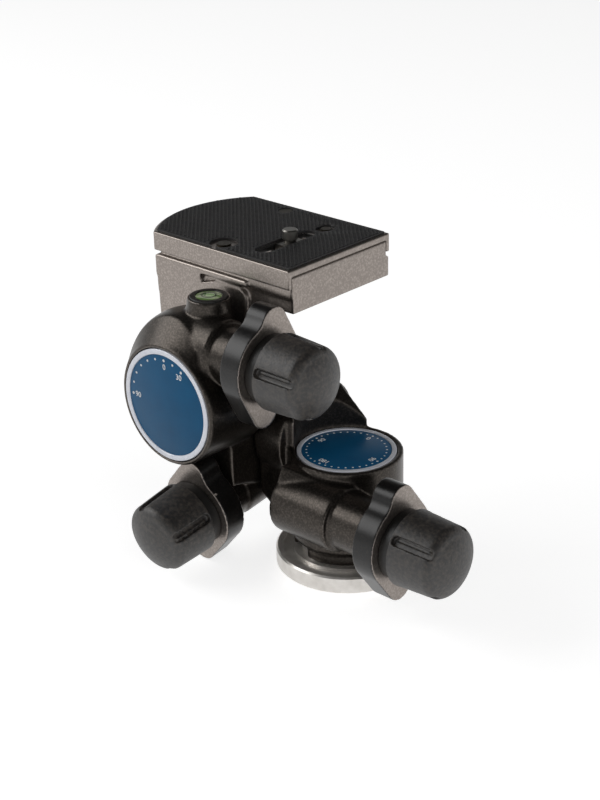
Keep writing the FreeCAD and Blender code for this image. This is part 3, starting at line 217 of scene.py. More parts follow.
def powder_coat(name, base, fleck, edge_highlight, roughness, metallic, relief):
    """Metallic powder coat on die-cast aluminium: fine grains, a satin shine, and sharp edges painted paler
    as a highlight.
    """
    material, tree, place = new_material(name)
    grain = add_node(tree, "ShaderNodeTexNoise",
                     inputs={"Vector": place, "Scale": 1 / COAT_GRAIN, "Detail": 3.0})
    speck = add_node(tree, "ShaderNodeMapRange",
                     inputs={"Value": grain.outputs["Fac"], "From Min": 0.45, "From Max": 0.72})
    coat = add_node(tree, "ShaderNodeMix", {"data_type": "RGBA"},
                    {MIX_FACTOR: speck.outputs["Result"], MIX_A: tint(base), MIX_B: tint(fleck)})
    # Painted highlight: the sharpest edges, found by pointiness, are painted paler, standing in for the light
    # that edges catch.
    sharp = add_node(tree, "ShaderNodeNewGeometry").outputs["Pointiness"]
    edge = add_node(tree, "ShaderNodeMapRange",
                    inputs={"Value": sharp, "From Min": 0.53, "From Max": 0.60, "To Max": 0.8})
    edge_highlighted = add_node(tree, "ShaderNodeMix", {"data_type": "RGBA"},
                      {MIX_FACTOR: edge.outputs["Result"], MIX_A: coat.outputs[MIX_RESULT],
                       MIX_B: tint(edge_highlight)})
    shine = add_node(tree, "ShaderNodeMapRange",
                     inputs={"Value": grain.outputs["Fac"],
                             "To Min": roughness - 0.06, "To Max": roughness + 0.06})
    peel = add_node(tree, "ShaderNodeTexNoise",
                    inputs={"Vector": place, "Scale": 1 / COAT_PEEL, "Detail": 1.0})
    bump = add_node(tree, "ShaderNodeBump",
                    inputs={"Height": peel.outputs["Fac"], "Strength": relief, "Distance": PEEL_DEPTH})
    return finish_material(material, {
        "Base Color": edge_highlighted.outputs[MIX_RESULT],
        "Roughness": shine.outputs["Result"],
        "Metallic": metallic,
        "Normal": bump.outputs["Normal"],
    })


def moulded_rubber(name, base, bloom, roughness):
    """Moulded synthetic rubber: dark and nearly matt, with the pale bloom that handling leaves."""
    material, tree, place = new_material(name)
    speckle = add_node(tree, "ShaderNodeTexNoise",
                       inputs={"Vector": place, "Scale": 1 / BLOOM_SPECK, "Detail": 4.0})
    amount = add_node(tree, "ShaderNodeMapRange",
                      inputs={"Value": speckle.outputs["Fac"], "From Min": 0.42, "From Max": 0.68})
    skin = add_node(tree, "ShaderNodeMix", {"data_type": "RGBA"},
                    {MIX_FACTOR: amount.outputs["Result"], MIX_A: tint(base), MIX_B: tint(bloom)})
    pores = add_node(tree, "ShaderNodeTexNoise",
                     inputs={"Vector": place, "Scale": 1 / RUBBER_PORE, "Detail": 3.0})
    shine = add_node(tree, "ShaderNodeMapRange",
                     inputs={"Value": pores.outputs["Fac"],
                             "To Min": roughness - 0.08, "To Max": roughness + 0.08})
    bump = add_node(tree, "ShaderNodeBump",
                    inputs={"Height": pores.outputs["Fac"], "Strength": 0.6, "Distance": PORE_DEPTH})
    return finish_material(material, {
        "Base Color": skin.outputs[MIX_RESULT],
        "Roughness": shine.outputs["Result"],
        "Specular IOR Level": 0.8,
        "Normal": bump.outputs["Normal"],
    })


def turned_metal(name, base, dull, metallic, roughness):
    """Lathe-turned aluminium: fine rings about the upright axis, cloudy with handling, with a soft shine."""
    material, tree, place = new_material(name)
    flat = add_node(tree, "ShaderNodeMapping", inputs={"Vector": place, "Scale": (1.0, 1.0, 0.001)})
    rings = add_node(tree, "ShaderNodeTexWave", {"wave_type": "RINGS", "rings_direction": "Z"},
                     {"Vector": flat.outputs["Vector"], "Scale": WAVE_PERIOD / TURNING_FEED,
                      "Distortion": 0.4})
    cloud = add_node(tree, "ShaderNodeTexNoise",
                     inputs={"Vector": place, "Scale": 1 / HANDLING_CLOUD, "Detail": 4.0})
    amount = add_node(tree, "ShaderNodeMapRange",
                      inputs={"Value": cloud.outputs["Fac"], "From Min": 0.35, "From Max": 0.7,
                              "To Max": 0.6})
    metal = add_node(tree, "ShaderNodeMix", {"data_type": "RGBA"},
                     {MIX_FACTOR: amount.outputs["Result"], MIX_A: tint(base), MIX_B: tint(dull)})
    shine = add_node(tree, "ShaderNodeMapRange",
                     inputs={"Value": rings.outputs["Fac"],
                             "To Min": roughness - 0.05, "To Max": roughness + 0.06})
    bump = add_node(tree, "ShaderNodeBump",
                    inputs={"Height": rings.outputs["Fac"], "Strength": 0.25, "Distance": RING_DEPTH})
    return finish_material(material, {
        "Base Color": metal.outputs[MIX_RESULT],
        "Metallic": metallic,
        "Roughness": shine.outputs["Result"],
        "Normal": bump.outputs["Normal"],
    })


def machined_metal(name, base, stain, roughness):
    """Machined metal: fine tool marks across the upright axis, a slightly uneven tint and shine."""
    material, tree, place = new_material(name)
    long = add_node(tree, "ShaderNodeMapping", inputs={"Vector": place, "Scale": (1.0, 1.0, 8.0)})
    marks = add_node(tree, "ShaderNodeTexNoise",
                     inputs={"Vector": long.outputs["Vector"], "Scale": 1 / TOOL_MARK, "Detail": 3.0})
    cloud = add_node(tree, "ShaderNodeTexNoise", inputs={"Vector": place, "Scale": 1 / STAIN_CLOUD})
    metal = add_node(tree, "ShaderNodeMix", {"data_type": "RGBA"},
                     {MIX_FACTOR: cloud.outputs["Fac"], MIX_A: tint(base), MIX_B: tint(stain)})
    shine = add_node(tree, "ShaderNodeMapRange",
                     inputs={"Value": marks.outputs["Fac"],
                             "To Min": roughness - 0.1, "To Max": roughness + 0.1})
    return finish_material(material, {
        "Base Color": metal.outputs[MIX_RESULT],
        "Metallic": 1.0,
        "Roughness": shine.outputs["Result"],
    })


def moulded_plastic(name, base, paler, roughness):
    """Moulded plastic: an even colour, broken up by the fine grain of a spark-eroded mould."""
    material, tree, place = new_material(name)
    grain = add_node(tree, "ShaderNodeTexNoise",
                     inputs={"Vector": place, "Scale": 1 / SPARK_GRAIN, "Detail": 1.0})
    skin = add_node(tree, "ShaderNodeMix", {"data_type": "RGBA"},
                    {MIX_FACTOR: grain.outputs["Fac"], MIX_A: tint(base), MIX_B: tint(paler)})
    shine = add_node(tree, "ShaderNodeMapRange",
                     inputs={"Value": grain.outputs["Fac"],
                             "To Min": roughness - 0.05, "To Max": roughness + 0.05})
    bump = add_node(tree, "ShaderNodeBump",
                    inputs={"Height": grain.outputs["Fac"], "Strength": 0.12, "Distance": GRAIN_DEPTH})
    return finish_material(material, {
        "Base Color": skin.outputs[MIX_RESULT],
        "Roughness": shine.outputs["Result"],
        "Normal": bump.outputs["Normal"],
    })


def anodised_blue(name, base, deeper):
    """Blue anodised aluminium: a deep, slightly cloudy colour with a satin shine."""
    material, tree, place = new_material(name)
    cloud = add_node(tree, "ShaderNodeTexNoise",
                     inputs={"Vector": place, "Scale": 1 / DYE_CLOUD, "Detail": 3.0})
    grain = add_node(tree, "ShaderNodeTexNoise", inputs={"Vector": place, "Scale": 1 / ETCH_GRAIN})
    skin = add_node(tree, "ShaderNodeMix", {"data_type": "RGBA"},
                    {MIX_FACTOR: cloud.outputs["Fac"], MIX_A: tint(base), MIX_B: tint(deeper)})
    shine = add_node(tree, "ShaderNodeMapRange",
                     inputs={"Value": grain.outputs["Fac"], "To Min": 0.34, "To Max": 0.46})
    return finish_material(material, {
        "Base Color": skin.outputs[MIX_RESULT],
        "Roughness": shine.outputs["Result"],
        "Specular IOR Level": 0.25,
    })


def spirit(name, base, bright, centre):
    """Green spirit seen through its clear cap: dark in the middle, bright at the rim, under a gloss."""
    material, tree, place = new_material(name)
    away = add_node(tree, "ShaderNodeVectorMath", {"operation": "DISTANCE"}, {0: place, 1: centre})
    rim = add_node(tree, "ShaderNodeMapRange",
                   inputs={"Value": away.outputs["Value"],
                           "From Min": SPIRIT_DARK, "From Max": SPIRIT_BRIGHT})
    liquid = add_node(tree, "ShaderNodeMix", {"data_type": "RGBA"},
                      {MIX_FACTOR: rim.outputs["Result"], MIX_A: tint(base), MIX_B: tint(bright)})
    ripple = add_node(tree, "ShaderNodeTexNoise", inputs={"Vector": place, "Scale": 1 / CAP_RIPPLE})
    shine = add_node(tree, "ShaderNodeMapRange",
                     inputs={"Value": ripple.outputs["Fac"], "To Min": 0.15, "To Max": 0.25})
    return finish_material(material, {
        "Base Color": liquid.outputs[MIX_RESULT],
        "Roughness": shine.outputs["Result"],
        "Coat Weight": 1.0,
        "Coat Roughness": 0.04,
    })


def vial_crown():
    """The highest point of the level's vial, at its middle."""
    low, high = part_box("level_vial")
    return Vector(((low.x + high.x) / 2, (low.y + high.y) / 2, high.z))


def make_finishes(colours):
    """Every finish by its slot name in the record, with the extra ones that only some pieces use."""
    # Every coat's sharp edges are painted paler in the pale coat's grain colour: a painted highlight.
    edge_highlight = colours.lit_fleck
    return {
        # Housings: the charcoal coat as a shaded copy, darker for the shade they sit in. It glints like
        # metal, and its sharp edges are painted paler as a highlight.
        "casting": powder_coat("shaded_charcoal_powder_coat", colours.coat, colours.shaded_fleck, edge_highlight,
                               roughness=0.32, metallic=0.88, relief=0.3),
        # Platform, plate and wing faces: the same coat as a lit copy, in a paler warm grey and more metallic,
        # standing in for the light on their flats.
        "plate": powder_coat("lit_grey_powder_coat", colours.lit_coat, colours.lit_fleck, edge_highlight,
                             roughness=0.33, metallic=0.93, relief=0.3),
        # Sides of the collars: black and satin, with hardly any metal in it.
        "collar": powder_coat("black_powder_coat", colours.collar_coat, colours.collar_fleck, edge_highlight,
                              roughness=0.3, metallic=0.2, relief=0.08),
        # Knobs: grey-black rubber with a faint sheen. The plate's pad is the same, blacker and duller.
        "rubber": moulded_rubber("grip_rubber", colours.rubber, colours.rubber_bloom, roughness=0.5),
        "pad": moulded_rubber("pad_rubber", colours.pad, colours.rubber, roughness=0.6),
        # Base: pale turned aluminium. The dials' rims are cleaner, and pale from every side.
        "bare_aluminium": turned_metal("turned_aluminium", colours.aluminium, colour("#cdc8c1"),
                                       metallic=0.7, roughness=0.34),
        "rim": turned_metal("dial_rim_aluminium", colours.rim, colour("#d3d8e4"),
                            metallic=0.3, roughness=0.32),
        # Dials: a deep blue that keeps its colour under the lamps.
        "dial_blue": anodised_blue("blue_anodised_aluminium", colours.dial, colour("#064f77")),
        # Screws, shafts and springs: cool grey. Wheels and bushes: warm brown. Rivets and pin: dull brown.
        "steel": machined_metal("zinc_plated_steel", colour("#94928d"), colour("#73706b"), roughness=0.36),
        "bronze": machined_metal("tin_bronze", colour("#a8763e"), colour("#8a5d2f"), roughness=0.38),
        "brass_trim": machined_metal("aged_brass", colour("#4f493d"), colour("#38342c"), roughness=0.45),
        # Running washers: cream, waxy acetal. Button, bezel and knob cores: plain black nylon.
        "acetal": moulded_plastic("white_acetal", colour("#d9d4c6"), colour("#e6e2d6"), roughness=0.42),
        "button": moulded_plastic("black_nylon", colour("#111110"), colour("#1c1b1a"), roughness=0.42),
        # Dial print: a thin, flat white ink.
        "ink": moulded_plastic("white_screen_print", colours.print_ink, colour("#ffffff"), roughness=0.5),
        # Level: dark green spirit, and the paler bubble in it.
        "vial": spirit("green_spirit", colours.spirit, colour("#7c9a52"), vial_crown()),
        "bubble": spirit("bubble_in_spirit", colour("#8fb37a"), colour("#b9cf9c"), vial_crown()),
    }


def finish_of(slot):
    """The material that the finishing operator has made for a slot."""
    return bpy.data.materials[bpy.context.scene["head_finishes"][slot]]


def paint(piece, material):
    """Gives the whole piece one material."""
    piece.data.materials.clear()
    piece.data.materials.append(material)


def paint_where(piece, material, chosen):
    """Gives the faces that chosen() accepts a second material."""
    piece.data.materials.append(material)
    for face in piece.data.polygons:
        if chosen(face):
            face.material_index = 1


# ---------------------------------------- shaping
MERGE = 0.002 * MM              # corners of a CAD mesh's loose triangles that are this close are one
SHARP_EDGE = math.radians(32)   # an edge that turns further than this is shaded sharp
SMOOTHING = 0.5                 # how far a round of smoothing moves a corner towards its neighbours' middle


def deselect():
    """Leaves nothing selected, in object mode."""
    if bpy.context.mode != "OBJECT":
        bpy.ops.object.mode_set(mode="OBJECT")
    bpy.ops.object.select_all(action="DESELECT")


def take(piece):
    """Makes one piece the only selected and active one."""
    deselect()
    piece.select_set(True)
    bpy.context.view_layer.objects.active = piece
    return piece


def name_new(name):
    """Names the object that an operator has just added, and its mesh."""
    piece = bpy.context.active_object
    piece.name = piece.data.name = name
    return piece


def apply_modifier(piece, kind, **settings):
    """Adds a modifier with its settings and applies it."""
    modifier = piece.modifiers.new(kind.lower(), kind)
    for name, value in settings.items():
        setattr(modifier, name, value)
    take(piece)
    bpy.ops.object.modifier_apply(modifier=modifier.name)


def fix_place(piece):
    """Puts the piece's turn, scale and place into its mesh."""
    take(piece)
    bpy.ops.object.transform_apply(location=True, rotation=True, scale=True)
    return piece


def flatten(piece, share):
    """Presses a new piece to a share of its height."""
    piece.scale = (1, 1, share)
    return fix_place(piece)


def join(pieces, name):
    """Makes several pieces one mesh."""
    take(pieces[0])
    for piece in pieces[1:]:
        piece.select_set(True)
    bpy.ops.object.join()
    return name_new(name)


def shade(piece, angle=SHARP_EDGE):
    """Shades the piece smooth, but not over its sharp edges."""
    take(piece)
    bpy.ops.object.shade_smooth_by_angle(angle=angle)


def edit_where(piece, mode, chosen, action):
    """In edit mode, selects the corners, edges or faces that chosen() accepts and runs the action on them."""
    take(piece)
    bpy.ops.object.mode_set(mode="EDIT")
    bpy.ops.mesh.select_mode(type=mode)
    bpy.ops.mesh.select_all(action="DESELECT")
    mesh = bmesh.from_edit_mesh(piece.data)
    mesh.normal_update()
    for element in {"VERT": mesh.verts, "EDGE": mesh.edges, "FACE": mesh.faces}[mode]:
        if chosen(element):
            element.select_set(True)
    mesh.select_flush_mode()
    bmesh.update_edit_mesh(piece.data)
    action()
    bpy.ops.object.mode_set(mode="OBJECT")
    return piece


def faces_up(face):
    """Whether a face looks upward."""
    return face.normal.z > 0.9


def bevel(width, segments):
    """Rounds the selected edges."""
    bpy.ops.mesh.bevel(offset=width, segments=segments, affect="EDGES")


def sink(rim, depth):
    """Leaves a rim round the selected face and sinks what is inside it."""
    bpy.ops.mesh.inset(thickness=rim, depth=0)
    bpy.ops.mesh.extrude_region_move(TRANSFORM_OT_translate={"value": (0, 0, -depth)})


def press(share, height):
    """Scales the selected corners' distance from a height."""
    bpy.ops.transform.resize(value=(1, 1, share), center_override=(0, 0, height))


def merged_copy(node, name):
    """A copy of a CAD node's mesh as a new piece, its loose triangles merged."""
    piece = bpy.data.objects.new(name, NODES[node].data.copy())
    piece.data.name = name
    bpy.context.scene.collection.objects.link(piece)
    return edit_where(piece, "VERT", lambda v: True, lambda: bpy.ops.mesh.remove_doubles(threshold=MERGE))


def drop_specks(piece):
    """Deletes the specks that a remesh can leave beside the shape that holds the furthest point."""
    far = max(piece.data.vertices, key=lambda v: v.co.length).index

    def delete_rest():
        bpy.ops.mesh.select_linked()
        bpy.ops.mesh.select_all(action="INVERT")
        bpy.ops.mesh.delete(type="VERT")

    edit_where(piece, "VERT", lambda v: v.index == far, delete_rest)


def cast_skin(node, voxel, rounds, name):
    """A CAD node's shape with the rounded edges and blended corners that a mould gives."""
    piece = merged_copy(node, name)
    apply_modifier(piece, "REMESH", mode="VOXEL", voxel_size=voxel, adaptivity=0.0)
    drop_specks(piece)
    apply_modifier(piece, "SMOOTH", factor=SMOOTHING, iterations=rounds)
    take(piece)
    bpy.ops.object.shade_smooth()
    return piece


def stand_for(piece, node):
    """The piece takes a CAD node's place and body."""
    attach(piece, BODY_OF[node])
    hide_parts(node)


# ---------------------------------------- castings, collars and grips
# Node, its grid as a share of the casting grid, rounds of smoothing, finish.
CASTINGS = (
    ("pan_housing", 1.0, 9, "casting"),
    ("middle_housing", 1.0, 9, "casting"),
    ("platform", 1.0, 5, "plate"),
    ("plate", 0.8, 2, "plate"),
    ("clamp_lever", 0.6, 5, "collar"),
)
COLLAR_ROUNDS = 5
GRIP_ROUNDS = 3
NOSE_REACH = 12 * MM       # how far behind its end a grip's nose starts to round
NOSE_ROUND = 2.5           # power that keeps the middle of the nose flat
NOSE_FADE = 0.7            # power that ends the dome softly along the grip
WALL_NORMAL = 0.6          # a face whose normal rises by less than this is a side wall
PLATE_MARGIN = 5 * MM      # the plate's outer walls lie nearer to its box than this
FRONT_NORMAL = 0.75        # a collar's face that follows the worm this closely is a front face


def worm_axis(unit):
    """The middle of a unit's knob, and the direction of its worm towards the knob."""
    low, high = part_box(f"{unit}_knob_grip")
    back_low, back_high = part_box(f"{unit}_worm_bush")
    return (low + high) / 2, ((low + high) - (back_low + back_high)).normalized()


def in_recess(face, low, high):
    """Whether a face of the plate is a side wall of its slot or of a pin's recess."""
    upright = abs(face.normal.z) < WALL_NORMAL
    inside = all(low[i] + PLATE_MARGIN < face.center[i] < high[i] - PLATE_MARGIN for i in (0, 1))
    return upright and inside


def dome_nose(piece, unit, drop):
    """Presses the rim of a grip's nose back, so that the nose is a shallow dome."""
    middle, outward = worm_axis(unit)
    depths = [(v.co - middle).dot(outward) for v in piece.data.vertices]
    end = max(depths)
    radius = max((v.co - middle - outward * d).length for v, d in zip(piece.data.vertices, depths))
    for vertex, depth in zip(piece.data.vertices, depths):
        out = (vertex.co - middle - outward * depth).length / radius
        near = max(0.0, 1 - (end - depth) / NOSE_REACH)
        vertex.co -= outward * drop * out ** NOSE_ROUND * near ** NOSE_FADE


# ---------------------------------------- dials
# Each dial's own across, up and outward directions on the head.
DIAL_SIDES = {
    "pan": ((1, 0, 0), (0, 1, 0), (0, 0, 1)),
    "front": ((0, -1, 0), (0, 0, 1), (-1, 0, 0)),
    "side": ((1, 0, 0), (0, 0, 1), (0, -1, 0)),
}
# Angles of the dots on a dial's face, and the numbers at some of them, in degrees from across.
TILT_ANGLES = range(60, 181, 15)
TILT_NUMBERS = {180: "90", 90: "0", 60: "30"}
PAN_ANGLES = range(0, 360, 10)
PAN_NUMBERS = {0: "90", 90: "0", 180: "90", 270: "180"}
RIM_RADIUS = 24 * MM       # radius of a dial whose rim has the width that the panel gives
RIM_ROUND = 0.35 * MM
DISH_DEPTH = 0.5 * MM
FACE_THICKNESS = 0.3 * MM
FACE_GAP = 0.05 * MM       # between the blue face and the rim
FACE_ROUND = 0.08 * MM
DOT_INSET = 2.1 * MM       # from the rim to the ring of dots
NUMBER_INSET = 2.9 * MM    # from the ring of dots to the middle of the numbers
INK_THICKNESS = 0.06 * MM
INK_SPREAD = 0.05 * MM     # how far ink runs past a number's outline
NUMBERED_DOT = 1.25        # a dot with a number is this much larger
PAN_DOT = 0.8              # the pan dial's closer dots are this much smaller


def dial_place(unit):
    """Matrix from a dial's own frame, facing +Z with its face at height 0, and its radius and thickness."""
    low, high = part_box(f"{unit}_dial_plate")
    across, upward, outward = (Vector(v) for v in DIAL_SIDES[unit])
    middle, half = (low + high) / 2, (high - low) / 2
    thickness = 2 * abs(half.dot(outward))
    radius = abs(half.dot(across))
    turn = Matrix((across, upward, outward)).transposed().to_4x4()
    turn.translation = middle + outward * thickness / 2
    return turn, radius, thickness


def place_dial_piece(piece, turn):
    """Moves a piece from the dial's own frame to its place on the head."""
    piece.matrix_world = turn @ piece.matrix_world
    return fix_place(piece)


def polar(radius, degrees, height):
    """A point on a dial's face."""
    angle = math.radians(degrees)
    return (radius * math.cos(angle), radius * math.sin(angle), height)


def dial_dish(unit, radius, thickness, rim):
    """Turned aluminium dish with a rounded rim."""
    bpy.ops.mesh.primitive_cylinder_add(vertices=160, radius=radius, depth=thickness,
                                        location=(0, 0, -thickness / 2))
    dish = fix_place(name_new(f"{unit}_dial_dish"))

    def rim_edge(edge):
        high = all(v.co.z > -TOUCH for v in edge.verts)
        return high and len({round(v.co.to_2d().length, 5) for v in edge.verts}) == 1

    edit_where(dish, "FACE", faces_up, lambda: sink(rim, DISH_DEPTH))
    edit_where(dish, "EDGE", rim_edge, lambda: bevel(RIM_ROUND, 3))
    shade(dish)
    return dish


def dial_face(unit, radius, height):
    """Blue disc let into the dish."""
    bpy.ops.mesh.primitive_cylinder_add(vertices=128, radius=radius, depth=FACE_THICKNESS,
                                        location=(0, 0, height))
    face = fix_place(name_new(f"{unit}_dial_face"))
    edit_where(face, "EDGE", lambda e: all(v.co.z > height for v in e.verts), lambda: bevel(FACE_ROUND, 2))
    shade(face)
    return face


def printed_dot(radius, spot):
    """One printed dot."""
    bpy.ops.mesh.primitive_cylinder_add(vertices=14, radius=radius, depth=INK_THICKNESS, location=spot)
    return fix_place(name_new("dot"))


def printed_number(digits, spot, turn, height):
    """One plain printed number."""
    bpy.ops.object.text_add(location=spot, rotation=(0, 0, turn))
    words = bpy.context.active_object.data
    words.body = digits
    words.size = height
    words.align_x, words.align_y = "CENTER", "CENTER"
    words.extrude = INK_THICKNESS / 2
    words.offset = INK_SPREAD
    bpy.ops.object.convert(target="MESH")
    return fix_place(name_new("number"))


def dial_marks(unit, radius, height, sizes):
    """White dots round the dial and the plain degree numbers inside them, which on the pan dial face out."""
    on_pan = unit == "pan"
    angles, numbers = (PAN_ANGLES, PAN_NUMBERS) if on_pan else (TILT_ANGLES, TILT_NUMBERS)
    pieces = []
    for degrees in angles:
        size = sizes.dial_dot * (NUMBERED_DOT if degrees in numbers else 1.0) * (PAN_DOT if on_pan else 1.0)
        pieces.append(printed_dot(size, polar(radius, degrees, height)))
    for degrees, digits in numbers.items():
        turn = math.radians(degrees - 90) if on_pan else 0
        spot = polar(radius - NUMBER_INSET, degrees, height)
        pieces.append(printed_number(digits, spot, turn, sizes.number_height))
    return join(pieces, f"{unit}_dial_marks")


# ---------------------------------------- bubble level
VIAL_SHARE = 0.86          # the vial that shows, as a share of the CAD vial's radius
VIAL_SEAT = 0.15 * MM      # how far the vial's edge is let into the bezel
WELL_DEPTH = 2 * MM
BEZEL_ROUND = 0.3 * MM
CAP_DROP = 0.45 * MM       # from the bezel's top to the edge of the vial's cap
CAP_RISE = 0.11            # height of the domed cap as a share of its radius
CAP_FOOT = 0.9 * MM
CAP_EDGE = math.radians(40)
SIGHT_RADIUS = 2.9 * MM
SIGHT_WIRE = 0.16 * MM
SIGHT_DROP = 0.09 * MM     # the sight ring's middle lies this far below the crown
SIGHT_PRESS = 0.6          # what the ring's upper half keeps of its height
BUBBLE_RADIUS = 2.0 * MM
BUBBLE_RISE = 0.12         # height of the bubble as a share of its radius
BUBBLE_OFF = Vector((0.5 * MM, 0.3 * MM, 0))
BUBBLE_DROP = 0.12 * MM
CREST_RISE = 0.02 * MM     # the bubble is pressed flatter above this height over the crown
CREST_PRESS = 0.4          # what the part above it keeps


def level_bezel(low, high, vial_radius):
    """Black ring with a well for the vial."""
    radius = (high.x - low.x) / 2
    bpy.ops.mesh.primitive_cylinder_add(vertices=96, radius=radius, depth=high.z - low.z,
                                        location=(low + high) / 2)
    bezel = fix_place(name_new("level_bezel_ring"))
    edit_where(bezel, "FACE", faces_up, lambda: sink(radius - vial_radius + VIAL_SEAT, WELL_DEPTH))
    edit_where(bezel, "EDGE", lambda e: all(v.co.z > high.z - TOUCH for v in e.verts),
               lambda: bevel(BEZEL_ROUND, 3))
    shade(bezel)
    return bezel


def level_cap(edge, radius):
    """Clear domed cap of the vial, with a straight foot in the well."""
    bpy.ops.mesh.primitive_uv_sphere_add(segments=64, ring_count=32, radius=radius, location=edge)
    cap = flatten(name_new("level_vial_cap"), CAP_RISE)

    def drop_foot():
        press(0, edge.z)
        bpy.ops.transform.translate(value=(0, 0, -CAP_FOOT))

    edit_where(cap, "VERT", lambda v: v.co.z < edge.z - TOUCH, drop_foot)
    shade(cap, CAP_EDGE)
    return cap


def level_sight(crown):
    """Printed ring that the bubble is brought into."""
    middle = crown - Vector((0, 0, SIGHT_DROP))
    bpy.ops.mesh.primitive_torus_add(major_radius=SIGHT_RADIUS, minor_radius=SIGHT_WIRE, major_segments=64,
                                     minor_segments=8, location=middle)
    sight = fix_place(name_new("level_sight_ring"))
    return edit_where(sight, "VERT", lambda v: v.co.z > middle.z, lambda: press(SIGHT_PRESS, middle.z))


def level_bubble(crown):
    """Flat bubble, a little off the middle, under the cap."""
    bpy.ops.mesh.primitive_uv_sphere_add(segments=40, ring_count=20, radius=BUBBLE_RADIUS,
                                         location=crown + BUBBLE_OFF - Vector((0, 0, BUBBLE_DROP)))
    bubble = flatten(name_new("level_bubble"), BUBBLE_RISE)
    crest = crown.z + CREST_RISE
    edit_where(bubble, "VERT", lambda v: v.co.z > crest, lambda: press(CREST_PRESS, crest))
    bpy.ops.object.shade_smooth()
    return bubble


# ---------------------------------------- plate's pad
# Coarse: the diamonds of a moulded pad are about 1 mm apart. The panel gives the pitch that they have here.
DIAMOND_WIDTH = 0.72       # width of a raised diamond as a share of the pitch
DIAMOND_TOP = 0.55         # its top's width as a share of its foot's
DIAMOND_LIFT = 0.4         # height of its middle above the pad, as a share of its height
DIAMOND_ROOM = 1.15        # room that a diamond needs on the pad, as a share of its width
DIAMOND_EDGE = math.radians(30)
DIAMOND_TURN = Matrix.Rotation(math.radians(45), 4, "Z")
LOOK_DOWN_FROM = 1 * MM


def pad_diamond(width, height):
    """Mesh of one raised diamond, tapered towards its top."""
    bpy.ops.mesh.primitive_cube_add(size=1)
    diamond = name_new("diamond")
    diamond.scale = (width, width, height)
    fix_place(diamond)
    edit_where(diamond, "FACE", faces_up, lambda: bpy.ops.transform.resize(
        value=(DIAMOND_TOP, DIAMOND_TOP, 1), center_override=(0, 0, 0)))
    shape = diamond.data.copy()
    bpy.data.objects.remove(diamond)
    return shape


def on_flat_top(pad, corners, spot):
    """Whether all the room that a diamond needs at a spot is flat rubber."""
    for x, y in corners:
        above = Vector((x * DIAMOND_ROOM, y * DIAMOND_ROOM, LOOK_DOWN_FROM))
        hit, place, *_ = pad.ray_cast(spot + DIAMOND_TURN @ above, (0, 0, -1))
        if not hit or abs(place.z - spot.z) >= TOUCH:
            return False
    return True


# ---------------------------------------- operators
class HEAD_OT_finishes(bpy.types.Operator):
    """Make every finish and give it to the CAD parts"""
    bl_idname = "tripod_head.finishes"
    bl_label = "Finish the CAD parts"

    def execute(self, context):
        made = make_finishes(context.scene.tripod_head.colours)
        context.scene["head_finishes"] = {slot: material.name for slot, material in made.items()}
        for name, node in NODES.items():
            slot = node.data.materials[0].name.split(".")[0]
            finish = made["button"] if name.endswith("knob_core") else made[slot]
            for holder in node.material_slots:
                holder.material = finish
        return {"FINISHED"}


class HEAD_OT_castings(bpy.types.Operator):
    """Give the two housings, the platform, the plate and the clamp lever their soft cast edges"""
    bl_idname = "tripod_head.castings"
    bl_label = "Castings"

    def execute(self, context):
        voxel = context.scene.tripod_head.sizes.cast_voxel
        for node, share, rounds, finish in CASTINGS:
            piece = cast_skin(node, voxel * share, rounds, f"{node}_cast")
            paint(piece, finish_of(finish))
            stand_for(piece, node)
            if node == "plate":
                low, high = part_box(node)
                # The side walls of the plate's slot and pin recesses are painted black, darker than the plate
                # around them.
                paint_where(piece, finish_of("button"), lambda face: in_recess(face, low, high))
        return {"FINISHED"}


class HEAD_OT_collars(bpy.types.Operator):
    """Give the three release collars their soft edges, black sides, and front faces painted pale as lit faces
    """
    bl_idname = "tripod_head.collars"
    bl_label = "Release collars"

    def execute(self, context):
        voxel = context.scene.tripod_head.sizes.collar_voxel
        for unit in UNITS:
            node = f"{unit}_release_lever"
            outward = worm_axis(unit)[1]
            piece = cast_skin(node, voxel, COLLAR_ROUNDS, f"{unit}_collar_cast")
            paint(piece, finish_of("collar"))
            # Painted light: the faces that look along the worm get the pale lit coat, standing in for the
            # light they catch.
            paint_where(piece, finish_of("plate"),
                        lambda face, out=outward: face.normal.dot(out) > FRONT_NORMAL)
            stand_for(piece, node)
        return {"FINISHED"}


class HEAD_OT_grips(bpy.types.Operator):
    """Mould the three rubber grips"""
    bl_idname = "tripod_head.grips"
    bl_label = "Rubber grips"

    def execute(self, context):
        sizes = context.scene.tripod_head.sizes
        for unit in UNITS:
            node = f"{unit}_knob_grip"
            piece = cast_skin(node, sizes.grip_voxel, GRIP_ROUNDS, f"{unit}_grip_moulding")
            dome_nose(piece, unit, sizes.nose_drop)
            paint(piece, finish_of("rubber"))
            stand_for(piece, node)
        return {"FINISHED"}


class HEAD_OT_dials(bpy.types.Operator):
    """Build the three dials: dish, blue face and print"""
    bl_idname = "tripod_head.dials"
    bl_label = "Dials"

    def execute(self, context):
        sizes = context.scene.tripod_head.sizes
        for unit in UNITS:
            node = f"{unit}_dial_plate"
            turn, radius, thickness = dial_place(unit)
            rim = sizes.dial_rim * (radius / RIM_RADIUS)
            inner = radius - rim
            dish = dial_dish(unit, radius, thickness, rim)
            face = dial_face(unit, inner - FACE_GAP, -DISH_DEPTH)
            marks = dial_marks(unit, inner - DOT_INSET, FACE_THICKNESS / 2 - DISH_DEPTH, sizes)
            for piece, finish, slot in ((dish, "rim", "bare_aluminium"), (face, "dial_blue", "dial_blue"),
                                        (marks, "ink", "dial_blue")):
                place_dial_piece(piece, turn)
                paint(piece, finish_of(finish))
                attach(piece, BODY_OF[node])
            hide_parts(node)
        return {"FINISHED"}


